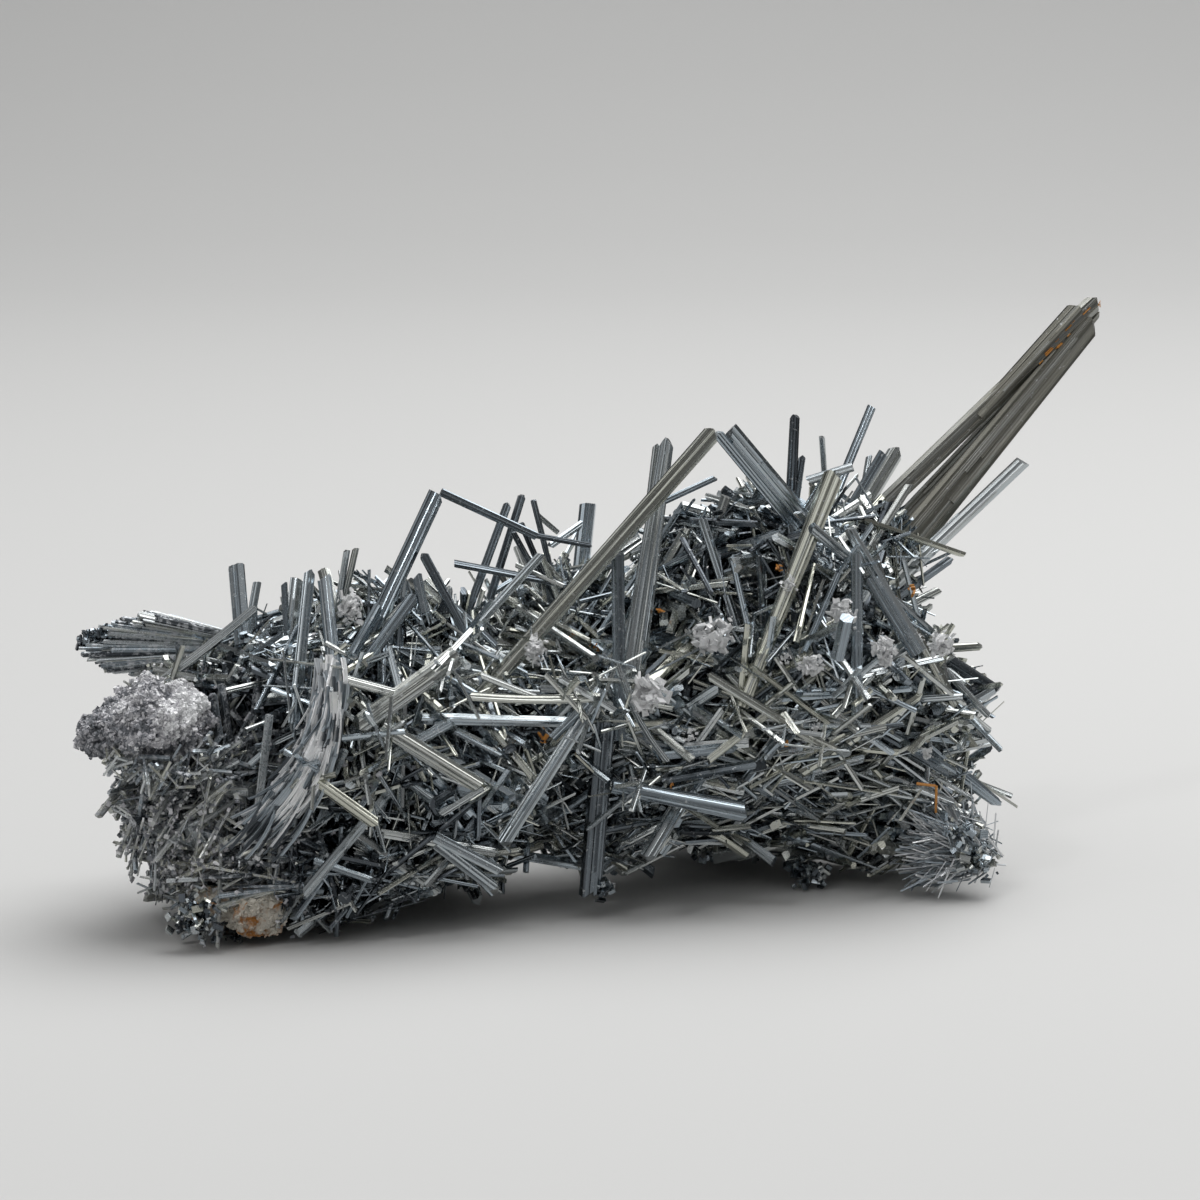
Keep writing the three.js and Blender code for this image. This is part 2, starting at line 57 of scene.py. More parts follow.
import bmesh
import bpy
import numpy as np
from mathutils import Matrix, Vector
from mathutils.bvhtree import BVHTree

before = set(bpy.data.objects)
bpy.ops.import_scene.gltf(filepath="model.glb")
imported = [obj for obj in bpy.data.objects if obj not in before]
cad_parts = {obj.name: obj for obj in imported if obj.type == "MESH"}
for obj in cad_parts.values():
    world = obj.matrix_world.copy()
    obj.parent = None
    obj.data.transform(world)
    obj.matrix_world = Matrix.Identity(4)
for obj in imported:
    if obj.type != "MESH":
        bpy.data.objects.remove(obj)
CAD_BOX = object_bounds()

MM = 0.001
BODY = "root"
GRAIN_MAP = "grain"
TONE = "tone"
FRONT = np.array((0.0, -1.0, 0.0))
UP = np.array((0.0, 0.0, 1.0))


def linear(hex_colour):
    """An sRGB hex colour such as #9aa09c as linear red, green and blue."""
    channels = [int(hex_colour[i : i + 2], 16) / 255 for i in (1, 3, 5)]
    return tuple(c / 12.92 if c <= 0.04045 else ((c + 0.055) / 1.055) ** 2.4 for c in channels)


# ---------------------------------------------------------------- settings


def colour_setting(name, description, hex_colour):
    return bpy.props.FloatVectorProperty(
        name=name,
        description=description,
        subtype="COLOR",
        size=3,
        min=0,
        max=1,
        default=linear(hex_colour),
    )


def length_setting(name, description, millimetres):
    return bpy.props.FloatProperty(
        name=name, description=description, unit="LENGTH", min=0, default=millimetres * MM
    )


def count_setting(name, description, count):
    return bpy.props.IntProperty(name=name, description=description, min=0, default=count)


class StibniteColours(bpy.types.PropertyGroup):
    """Colours of the minerals."""

    steel: colour_setting("Steel blue", "Bluish prism faces", "#a9b4bc")
    lead: colour_setting("Lead grey", "Most prism faces", "#bec2c2")
    olive: colour_setting("Olive grey", "Lightly tarnished prism faces", "#babbb0")
    bronze: colour_setting("Bronze", "Weathered faces of the long blades", "#83827a")
    tarnish: colour_setting("Dark tarnish", "Faces that have dulled to near black", "#51565b")
    dust: colour_setting("Dust", "Fine pale grains caught on the crystals", "#c2c5c8")
    frost_and_sheen: colour_setting("Frost", "Cloudy white of the small clear crystals", "#f3f4f5")
    sugar_dark: colour_setting("Crust, dark", "Dark grains of the sugary crust", "#7b7e84")
    sugar_pale: colour_setting("Crust, pale", "Pale grains of the sugary crust", "#cdccd0")
    rock: colour_setting("Matrix rock", "Pale rock under the left lobe", "#cfcabf")
    rust: colour_setting("Rust", "Iron stain", "#a8733c")
    orange: colour_setting("Orange", "The orange sliver and spots", "#d08c35")


class StibnitePrisms(bpy.types.PropertyGroup):
    """Detail of the large prisms."""

    grooves: count_setting("Grooves", "Lines between two corners of a large prism's section", 2)
    groove_depth: bpy.props.FloatProperty(
        name="Groove depth",
        description="Depth of the deepest groove as a share of the prism's width",
        subtype="FACTOR",
        default=0.035,
        min=0,
        max=0.2,
    )
    rings: count_setting("Rings", "Sections along a large prism", 5)
    scattered: count_setting("Scattered prisms", "Unnamed prisms of middle size over the mass", 760)


class StibniteNeedles(bpy.types.PropertyGroup):
    """How many needles there are of each kind."""

    inner: count_setting("Inner needles", "Thick needles that fill the inside of the mass", 4500)
    bundles: count_setting("Bundles", "Bundles of near parallel needles at the surface", 4200)
    hairs: count_setting("Hairs", "Hair-fine needles at the surface", 2200)
    chips: count_setting("Chips", "Short broken chips and grains at the surface", 900)
    sugar: count_setting("Sugar", "Pale grains caught among the needles of the left lobe", 6000)
    proud: length_setting("Reach", "How far a needle tip stands out of the mass", 1.9)
    fan: count_setting("Fan needles", "Needles of the flat fan", 260)
    crest: count_setting("Fan crest", "Stubby crystals along the fan's upper edge", 260)
    silky_blades: count_setting("Silky blades", "Narrow blades of the silky bundle", 60)
    silky_fibres: count_setting("Silky fibres", "Fine fibres of the silky bundle", 330)
    tuft: count_setting("Tuft", "Fine needles of the tuft at the right foot", 800)


class StibniteCrusts(bpy.types.PropertyGroup):
    """How many grains and plates there are of each kind."""

    grains: count_setting("Crust grains", "Grains all over the sugary crust", 9000)
    whiskers: count_setting("Crust needles", "Needles over the lower edge of the sugary crust", 110)
    grit: count_setting("Matrix grit", "Grains all over the matrix rock", 900)
    cluster: count_setting("Cluster plates", "Plates of a named cluster of clear crystals", 70)
    small_cluster: count_setting("Small cluster plates", "Plates of an unnamed clear cluster", 26)


class StibniteStage(bpy.types.PropertyGroup):
    """Floor, lights and camera."""

    floor: colour_setting("Floor", "Pale seamless floor", "#c6c6c5")
    distance: length_setting("Camera distance", "From the camera to the point it looks at", 430)
    elevation: bpy.props.FloatProperty(
        name="Camera elevation",
        description="Angle of the view above the horizon",
        subtype="ANGLE",
        default=math.radians(11),
    )
    lens: bpy.props.FloatProperty(
        name="Lens", description="Focal length in millimetres", default=140.2, min=10
    )
    overhead: bpy.props.FloatProperty(
        name="Overhead light", description="Power of the overhead light", default=4.5, unit="POWER"
    )
    world: bpy.props.FloatProperty(
        name="Room light", description="Strength of the room's light overhead", default=0.5
    )


SETTINGS = {
    "stibnite_colours": StibniteColours,
    "stibnite_prisms": StibnitePrisms,
    "stibnite_needles": StibniteNeedles,
    "stibnite_crusts": StibniteCrusts,
    "stibnite_stage": StibniteStage,
}


# ---------------------------------------------------------------- places on the frame


def corners_of(box):
    """A box's lowest and highest corners."""
    return tuple(np.array(corner) for corner in box)


def spot(shares):
    """The point at these shares of the whole frame's box, from its lowest corner to its highest."""
    low, high = corners_of(CAD_BOX)
    return low + (high - low) * np.array(shares)


def spot_in(node, shares):
    """The point at these shares of one node's box."""
    low, high = corners_of(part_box(node))
    return low + (high - low) * np.array(shares)


def unit(vectors):
    """These vectors made one unit long."""
    vectors = np.asarray(vectors, float)
    return vectors / np.maximum(np.linalg.norm(vectors, axis=-1, keepdims=True), 1e-12)


def nearness(points, middle, reach):
    """1 at the middle of a region of the whole box, falling to 0 past its reach. Both are in shares."""
    shares = (points - spot((0, 0, 0))) / (spot((1, 1, 1)) - spot((0, 0, 0)))
    return np.exp(-(((shares - middle) / reach) ** 2).sum(-1) * 1.5)


def across_from(along, facing=FRONT):
    """The direction across each crystal, so that its broad face looks towards facing."""
    return unit(np.cross(facing - along * (along @ facing)[..., None], along))


def node_points(name):
    """The corners of one frame node, each once."""
    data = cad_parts[name].data
    places = np.empty(len(data.vertices) * 3)
    data.vertices.foreach_get("co", places)
    return np.unique(places.reshape(-1, 3).round(7), axis=0)


# The far part of a prism, as a share of its length, where its taper is measured.
FAR_PART = 0.6


def measured_prism(name):
    """Foot, tip, across, width, thickness and taper of a single prism, from its frame node.

    The foot is the square end. Its ring has twelve corners, the same under a half turn.
    """
    corners = 12
    points = node_points(name)
    rough = np.linalg.svd(points - points.mean(0))[2][0]
    order = np.argsort(points @ rough)
    ends = [points[order[:corners]], points[order[-corners:]]]
    frames = [np.linalg.svd(end - end.mean(0))[2] for end in ends]
    foot = int(abs(frames[1][2] @ rough) > abs(frames[0][2] @ rough))
    ring = ends[foot]
    across, facing, along = frames[foot]
    middle = ring.mean(0)
    along = along * np.sign((points.mean(0) - middle) @ along)
    reach = (points - middle) @ along
    length = reach.max()
    half = abs((ring - middle) @ across).max()
    far = reach > FAR_PART * length
    spread = abs((points - middle)[far] @ across)
    widest = spread.argmax()
    taper = 1 + (spread[widest] / half - 1) * length / reach[far][widest]
    return {
        "foot": middle - along * ROOT * MM,
        "tip": middle + along * (length + LONGER.get(name, 0) * MM),
        "across": across,
        "width": 2 * half,
        "thick": 2 * abs((ring - middle) @ facing).max(),
        "taper": float(np.clip(taper, 0.45, 1.8)),
    }


# ---------------------------------------------------------------- crystal shapes

# Half of each section, as corners two units across; the other half is the same under a half turn.
SECTION_HALF = [(1, -0.15), (0.93, 0.4), (0.62, 0.95), (0.1, 1), (-0.05, 0.84), (-0.55, 0.88)]
NEEDLE_HALF = [(1, -0.2), (0.7, 0.9), (-0.1, 1), (-0.25, 0.72)]
CHIP_HALF = [(1, -0.6), (0.8, 0.9)]

# The planes that cut each kind of tip: slope off square and turn about the crystal, in degrees.
TIP_CUTS = {
    "chisel": [(42, 75), (34, 255)],
    "slant": [(38, 100), (12, 10)],
    "flat": [(9, 60)],
    "point": [(56, 20), (52, 140), (50, 260)],
}

# Height in widths over which a tip is cut.
SHOULDER = 1.5


def outline_of(half, grooves=0, depth=0.0, rng=None):
    """A section one unit wide and thick. Grooves between its corners are cut inwards at random."""
    corners = [*half, *((-x, -y) for x, y in half)]
    points = []
    for i, (x, y) in enumerate(corners):
        end_x, end_y = corners[(i + 1) % len(corners)]
        points.append((x / 2, y / 2))
        for step in range(grooves):
            share = (step + 1) / (grooves + 1)
            inward = 1 - 2 * depth * rng.random() ** 0.7
            points.append(
                ((x + (end_x - x) * share) / 2 * inward, (y + (end_y - y) * share) / 2 * inward)
            )
    return points


def crystal_shape(outline, tip_cuts, rings=0, bow=0.0, foot_cuts=()):
    """One crystal along +Z, drawn a few widths long, as arrays that are stretched when it is placed.

    Each point keeps its place across and through the section, its share of the body's length
    below the shoulder of the tip, and its rise above that shoulder in widths.
    """
    body = 8.0
    bm = bmesh.new()
    ring = bmesh.ops.create_circle(bm, cap_ends=True, segments=len(outline), radius=1)["verts"]
    for vertex, (x, y) in zip(ring, outline):
        vertex.co = (x, y, 0)
    top = list(bm.faces)
    heights = [body * (step + 1) / rings for step in range(rings)] + [body + SHOULDER]
    for low, high in zip([0, *heights], heights):
        grown = bmesh.ops.extrude_face_region(bm, geom=top)["geom"]
        top = [part for part in grown if isinstance(part, bmesh.types.BMFace)]
        moved = [part for part in grown if isinstance(part, bmesh.types.BMVert)]
        bmesh.ops.translate(bm, verts=moved, vec=(0, 0, high - low))
    cuts = [(body + SHOULDER - 0.25, slope, turn, 1) for slope, turn in tip_cuts]
    cuts += [(0.25, slope, turn, -1) for slope, turn in foot_cuts]
    for height, slope, turn, side in cuts:
        lean = Matrix.Rotation(math.radians(turn), 3, "Z") @ Matrix.Rotation(math.radians(slope), 3, "X")
        whole = [*bm.verts, *bm.edges, *bm.faces]
        cut = bmesh.ops.bisect_plane(
            bm,
            geom=whole,
            dist=1e-5,
            plane_co=(0, 0, height),
            plane_no=lean @ Vector((0, 0, side)),
            clear_outer=True,
        )
        rim = [part for part in cut["geom_cut"] if isinstance(part, bmesh.types.BMEdge)]
        bmesh.ops.holes_fill(bm, edges=rim, sides=0)
    bmesh.ops.remove_doubles(bm, verts=bm.verts, dist=1e-4)
    bmesh.ops.recalc_face_normals(bm, faces=bm.faces)
    bmesh.ops.triangulate(bm, faces=bm.faces)
    bm.verts.index_update()
    places = np.array([vertex.co for vertex in bm.verts])
    faces = np.array([[vertex.index for vertex in face.verts] for face in bm.faces])
    normals = np.array([face.normal for face in bm.faces])
    bm.free()
    sideways = unit(np.cross(UP, normals) + 1e-9)
    return {
        "x": places[:, 0],
        "y": places[:, 1],
        "share": np.minimum(places[:, 2], body) / body,
        "rise": np.maximum(places[:, 2] - body, 0),
        "bow": bow,
        "faces": faces,
        "u": np.einsum("fcj,fj->fc", places[faces], sideways),
    }


class Batch:
    """Crystals gathered as arrays, to be made one mesh."""

    def __init__(self):
        self.points, self.faces, self.grain, self.tones, self.total = [], [], [], [], 0

    def add(self, shape, foot, tip, across, width, thick, taper, tone, rng):
        """Adds copies of one shape. Every other argument but rng has one row for each copy."""
        foot, tip, across = (np.atleast_2d(value) for value in (foot, tip, across))
        width, thick, taper, tone = (np.atleast_1d(value)[:, None] for value in (width, thick, taper, tone))
        length = np.linalg.norm(tip - foot, axis=1)[:, None]
        along = (tip - foot) / length
        facing = np.cross(along, across)
        shoulder = np.maximum(length - SHOULDER * width, 0.2 * length)
        rise = shape["share"] * shoulder + shape["rise"] * (length - shoulder) / SHOULDER
        scale = 1 + (taper - 1) * rise / length
        bow = shape["bow"] * np.sin(np.pi * rise / length) * length
        x = shape["x"] * width * scale + bow
        y = shape["y"] * thick * scale
        places = foot[:, None] + across[:, None] * x[..., None] + facing[:, None] * y[..., None]
        places = places + along[:, None] * rise[..., None]
        copies, corners = len(foot), len(shape["x"])
        starts = self.total + np.arange(copies)[:, None, None] * corners
        self.faces.append((shape["faces"][None] + starts).reshape(-1, 3))
        shift = rng.random((copies, 1, 1)) * 50
        u = shape["u"][None] * width[..., None] / MM + shift
        v = rise[:, shape["faces"]] / MM + shift * 3
        self.grain.append(np.stack([u, v], axis=-1).reshape(-1, 2))
        self.points.append(places.reshape(-1, 3))
        self.tones.append(np.repeat(tone[:, 0], corners))
        self.total += copies * corners

    def build(self, name, material, slot, replaces=()):
        """Makes the mesh, its grain map in millimetres, and its tones, and rides it on the frame."""
        points = np.concatenate(self.points)
        faces = np.concatenate(self.faces)
        low, high = corners_of(CAD_BOX)
        points = np.clip(points, low, high)
        mesh = bpy.data.meshes.new(name)
        mesh.vertices.add(len(points))
        mesh.vertices.foreach_set("co", points.astype(np.float32).ravel())
        mesh.loops.add(faces.size)
        mesh.loops.foreach_set("vertex_index", faces.astype(np.int32).ravel())
        mesh.polygons.add(len(faces))
        mesh.polygons.foreach_set("loop_start", np.arange(0, faces.size, 3, dtype=np.int32))
        grain = mesh.uv_layers.new(name=GRAIN_MAP)
        grain.uv.foreach_set("vector", np.concatenate(self.grain).astype(np.float32).ravel())
        tone = mesh.attributes.new(TONE, "FLOAT", "POINT")
        tone.data.foreach_set("value", np.concatenate(self.tones).astype(np.float32))
        mesh.update(calc_edges=True)
        mesh.validate()
        mesh.shade_flat()
        return finished(name, mesh, material, replaces)


def finished(name, mesh, material, replaces=()):
    """Puts a mesh in the scene as a piece that rides on the frame."""
    mesh.materials.append(material)
    piece = bpy.data.objects.new(name, mesh)
    bpy.context.scene.collection.objects.link(piece)
    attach(piece, BODY)
    if replaces:
        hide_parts(*replaces)
    return piece


def large_shape(seed, end="chisel", bow=0.0):
    """A large prism of its own, with grooves cut by this seed."""
    settings = bpy.context.scene.stibnite_prisms
    rng = np.random.default_rng(seed)
    outline = outline_of(SECTION_HALF, settings.grooves, settings.groove_depth, rng)
    return crystal_shape(outline, TIP_CUTS[end], settings.rings, bow)


# ---------------------------------------------------------------- materials


def add_node(material, kind, settings=None, **inputs):
    """Adds a shader node with its settings. An input is a value, or another node's output to link.

    An underscore in an input's name stands for a space.
    """
    tree = material.node_tree
    node = tree.nodes.new(kind)
    for key, value in (settings or {}).items():
        setattr(node, key, value)
    for key, value in inputs.items():
        socket = node.inputs[int(key[1:])] if key[1:].isdigit() else node.inputs[key.replace("_", " ")]
        if isinstance(value, bpy.types.NodeSocket):
            tree.links.new(value, socket)
        else:
            socket.default_value = value
    return node


def ramp(material, factor, stops):
    """A colour ramp with these (place, colour) stops."""
    node = add_node(material, "ShaderNodeValToRGB", Fac=factor)
    elements = node.color_ramp.elements
    while len(elements) < len(stops):
        elements.new(0.5)
    for element, (place, colour) in zip(elements, stops):
        element.position = place
        element.color = (*colour, 1)
    return node.outputs["Color"]


def new_material(name, **surface):
    """A material whose surface shader has these inputs, with the shader and its output."""
    material = bpy.data.materials.new(name)
    material.use_nodes = True
    material.node_tree.nodes.clear()
    shader = add_node(material, "ShaderNodeBsdfPrincipled", **surface)
    output = add_node(material, "ShaderNodeOutputMaterial", Surface=shader.outputs["BSDF"])
    material.diffuse_color = (0.35, 0.36, 0.36, 1)
    return material, shader, output


def link(material, source, shader, name):
    """Links a node's output to the shader's input with this name."""
    material.node_tree.links.new(source, shader.inputs[name])


def striae(material, across, length, detail=3.0):
    """Noise drawn out along the crystal: across is the width of a line and length its length, in mm."""
    grain = add_node(material, "ShaderNodeUVMap", {"uv_map": GRAIN_MAP})
    stretched = add_node(
        material,
        "ShaderNodeMapping",
        Vector=grain.outputs["UV"],
        Scale=(1 / across, 1 / length, 1),
    )
    noise = add_node(
        material,
        "ShaderNodeTexNoise",
        {"noise_dimensions": "2D"},
        Vector=stretched.outputs["Vector"],
        Scale=1.0,
        Detail=detail,
        Roughness=0.6,
    )
    return noise.outputs["Fac"]


def speckle(material, size, low, high):
    """Grains of this size in mm, from 0 below the low mark to 1 above the high one."""
    place = add_node(material, "ShaderNodeTexCoord")
    noise = add_node(
        material,
        "ShaderNodeTexNoise",
        Vector=place.outputs["Object"],
        Scale=1 / (size * MM),
        Detail=3.0,
        Roughness=0.65,
    )
    mark = add_node(
        material,
        "ShaderNodeMapRange",
        Value=noise.outputs["Fac"],
        i1=low,
        i2=high,
    )
    return mark.outputs["Result"]


def blend(material, factor, first, second):
    """The first colour or value where the factor is 0, and the second where it is 1."""
    node = add_node(material, "ShaderNodeMix", {"data_type": "RGBA"}, Factor=factor)
    for socket, value in ((node.inputs[6], first), (node.inputs[7], second)):
        if isinstance(value, bpy.types.NodeSocket):
            material.node_tree.links.new(value, socket)
        else:
            socket.default_value = (*value, 1)
    return node.outputs[2]


def bump(material, height, depth, strength=1.0):
    """Relief of this depth in mm."""
    node = add_node(
        material, "ShaderNodeBump", Height=height, Distance=depth * MM, Strength=strength
    )
    return node.outputs["Normal"]


def stibnite(name, roughness, dusty, darker=0.0, line=0.22, metallic=1.0, last="olive"):
    """Stibnite, an opaque sulphide with a metallic lustre, as it grew.

    The lengthwise striae break each reflection into fine light and dark lines, by their bump and partly
    by painted shade along them in the base colour. The tone of a crystal runs from dark tarnish through
    steel blue and lead grey to olive grey.
    """
    colours = bpy.context.scene.stibnite_colours
    material, shader, _ = new_material(name, Metallic=metallic)
    tone = add_node(material, "ShaderNodeAttribute", {"attribute_name": TONE}).outputs["Fac"]
    lines = striae(material, line, 18.0, 2.0)
    drift = striae(material, 1.6, 9.0, 2.0)
    # Painted shade along the striae: the fine lines darken and lighten the base colour.
    shade = add_node(
        material, "ShaderNodeMath", {"operation": "MULTIPLY_ADD"}, i0=lines, i1=0.3, i2=-0.25 - darker
    )
    mixed = add_node(material, "ShaderNodeMath", {"operation": "ADD"}, i0=tone, i1=shade.outputs[0])
    drifted = add_node(
        material, "ShaderNodeMath", {"operation": "MULTIPLY_ADD"}, i0=drift, i1=0.2, i2=mixed.outputs[0]
    )
    base = ramp(
        material,
        drifted.outputs[0],
        [
            (0.05, colours.tarnish),
            (0.3, colours.steel),
            (0.55, colours.lead),
            (0.85, getattr(colours, last)),
        ],
    )
    powdered = add_node(material, "ShaderNodeMapRange", Value=tone, i1=0.95, i2=1.3, i4=0.85)
    specks = speckle(material, 0.5, 0.62 - dusty, 0.74 - dusty)
    dust = add_node(
        material, "ShaderNodeMath", {"operation": "MAXIMUM"}, i0=powdered.outputs[0], i1=specks
    ).outputs[0]
    link(material, blend(material, dust, base, colours.dust), shader, "Base Color")
    rough = add_node(
        material, "ShaderNodeMapRange", Value=lines, i1=0.25, i2=0.75, i3=roughness, i4=roughness + 0.12
    )
    dusted = add_node(
        material, "ShaderNodeMath", {"operation": "MULTIPLY_ADD"}, i0=dust, i1=0.3, i2=rough.outputs[0]
    )
    link(material, dusted.outputs[0], shader, "Roughness")
    link(material, bump(material, lines, 0.03), shader, "Normal")
    return material


def frosted_crystal():
    """Clear calcite or barite, grown as small plates: see-through, with cloudy veils and wet glints."""
    colours = bpy.context.scene.stibnite_colours
    material, shader, _ = new_material(
        "calcite_clear_frosted", IOR=1.6, Roughness=0.16, Transmission_Weight=0.4
    )
    veil = speckle(material, 0.9, 0.2, 0.45)
    link(material, blend(material, veil, colours.sugar_pale, colours.frost_and_sheen), shader, "Base Color")
    link(material, bump(material, speckle(material, 0.35, 0.3, 0.7), 0.05), shader, "Normal")
    return material


def sugary_crust():
    """Fine druse of quartz on stibnite dust: matt grey-violet sugar with white grains that sparkle."""
    colours = bpy.context.scene.stibnite_colours
    material, shader, _ = new_material("quartz_druse_sugary", IOR=1.54, Roughness=0.38)
    tone = add_node(material, "ShaderNodeAttribute", {"attribute_name": TONE}).outputs["Fac"]
    patch = speckle(material, 2.4, 0.38, 0.66)
    mixed = add_node(
        material, "ShaderNodeMath", {"operation": "MULTIPLY_ADD"}, i0=patch, i1=0.5, i2=tone
    )
    base = ramp(
        material,
        mixed.outputs[0],
        [(0.1, colours.tarnish), (0.4, colours.sugar_dark), (0.75, colours.sugar_pale), (1, colours.frost_and_sheen)],
    )
    link(material, base, shader, "Base Color")
    link(material, bump(material, speckle(material, 0.25, 0.2, 0.8), 0.06), shader, "Normal")
    return material


def matrix_rock():
    """Pale weathered rock, broken: chalky and matt, stained orange-brown where iron has rusted."""
    colours = bpy.context.scene.stibnite_colours
    material, shader, _ = new_material("matrix_rock_rusty", IOR=1.5, Roughness=0.85)
    stain = speckle(material, 1.8, 0.5, 0.62)
    grit = speckle(material, 0.4, 0.1, 0.42)
    stained = blend(material, stain, colours.rock, colours.rust)
    link(material, blend(material, grit, colours.sugar_dark, stained), shader, "Base Color")
    link(material, bump(material, grit, 0.12), shader, "Normal")
    return material


def orange_needle():
    """An orange oxide on a broken needle: waxy, half matt, redder at its edges."""
    colours = bpy.context.scene.stibnite_colours
    material, shader, _ = new_material("orange_oxide_waxy", IOR=1.5, Roughness=0.5)
    base = blend(material, striae(material, 0.3, 1.5), colours.orange, colours.rust)
    link(material, base, shader, "Base Color")
    link(material, bump(material, striae(material, 0.15, 3), 0.03), shader, "Normal")
    return material


def shared_material(name, maker):
    """The material with this name, made the first time it is asked for."""
    return bpy.data.materials.get(name) or maker()


def prism_material():
    """Fresh faces of the large prisms, bright along their striae."""
    name = "stibnite_prism_striated"
    return shared_material(name, lambda: stibnite(name, roughness=0.17, dusty=0.0))


def weathered_material():
    """Old faces of the long blades, dulled to a brownish olive that still mirrors along its lines."""
    name = "stibnite_prism_weathered"
    return shared_material(name, lambda: stibnite(name, roughness=0.26, dusty=-0.02, last="bronze"))


def needle_material():
    """Matted needles: finer striae and a little more tarnish than the prisms."""
    name = "stibnite_needle_matted"
    return shared_material(name, lambda: stibnite(name, roughness=0.15, dusty=0.02, darker=0.04, line=0.16))


def dusted_material():
    """Needles under a thin coat of grey dust and sugar, which dulls the metal."""
    name = "stibnite_needle_dusted"
    return shared_material(name, lambda: stibnite(name, roughness=0.2, dusty=0.12, line=0.16, metallic=0.7))


# ---------------------------------------------------------------- named crystals

# The cut of each single prism's tip.
SLANTED = [
    "outer_right_prism",
    "upright_prism",
    "arch_prism",
    "left_bright_prism",
    "crossing_prism",
    "right_upright_prism",
    "front_down_prism",
    "foot_blade",
    "left_broad_prism",
]
BROKEN_SQUARE = [
    "thin_upright_prism",
    "back_slender_prism",
    "saddle_cross_prism",
    "left_top_fat_stub",
    "left_blue_prism",
]
CHISELLED = [
    "outer_right_small_prism",
    "back_pale_prism",
    "long_diagonal_prism",
    "saddle_outer_prism",
    "saddle_inner_prism",
    "saddle_pale_prism",
    "arch_inner_prism",
    "left_tall_prism",
    "left_dark_tip_prism",
    "left_long_slender_prism",
    "great_front_prism",
    "slope_prism",
    "low_slope_prism",
    "right_edge_prism",
    "right_edge_blade",
    "front_lying_prism",
    "foot_diagonal_prism",
    "front_cross_prism",
    "curved_slender_blade",
    "left_double_ridge_prism",
    "left_flat_prism",
]
TIP_OF = {
    **dict.fromkeys(CHISELLED, "chisel"),
    **dict.fromkeys(SLANTED, "slant"),
    **dict.fromkeys(BROKEN_SQUARE, "flat"),
}

# The tone of most prisms, and of those that differ: 0 is tarnished and 1 is pale olive.
MIDDLE_TONE = 0.42
PRISM_TONES = {
    "great_front_prism": 0.8,
    "long_diagonal_prism": 0.72,
    "left_flat_prism": 0.85,
    "left_broad_prism": 0.7,
    "front_lying_prism": 0.25,
    "foot_blade": 0.0,
    "foot_diagonal_prism": 0.4,
    "long_blade_sheaf": 0.85,
    "upright_prism": 0.35,
    "arch_prism": 0.2,
    "arch_slender_bar": 0.15,
    "arch_inner_prism": 0.2,
    "saddle_outer_prism": 0.2,
    "saddle_inner_prism": 0.2,
    "saddle_cross_prism": 0.2,
    "saddle_needle_fan": 0.1,
    "back_fat_stub_pair": 0.3,
    "thin_upright_prism": 0.2,
    "back_slender_prism": 0.2,
    "top_prong_pair": 0.15,
    "peak_prism_pair": 0.3,
    "right_upright_prism": 0.25,
    "left_top_stub_pair": 0.3,
    "left_tall_prism": 0.4,
    "outer_right_prism": 0.5,
    "outer_right_small_prism": 0.2,
    "front_cross_prism": 0.8,
    "left_double_ridge_prism": 0.66,
    "low_slope_prism": 0.66,
    "left_blue_prism": 0.3,
    "saddle_pale_prism": 0.4,
    "left_dark_tip_prism": 0.28,
    "back_pale_prism": 0.62,
    "curved_slender_blade": 0.42,
    "right_edge_blade": 0.2,
}

# Groups and prisms whose faces have weathered.
WEATHERED = ("long_blade_sheaf", "outer_right_prism", "outer_right_small_prism")

# Crystals that are drawn longer than their node, by this many mm, to reach their neighbour's tip.
LONGER = {"long_diagonal_prism": 1.2}

# How far a prism is drawn on past its foot, in mm, so that it's rooted among the needles.
ROOT = 1.5

# How far each bent prism bows to one side, as a share of its length.
BOWED = {"curved_slender_blade": 0.06, "left_long_slender_prism": 0.015, "front_cross_prism": -0.02}

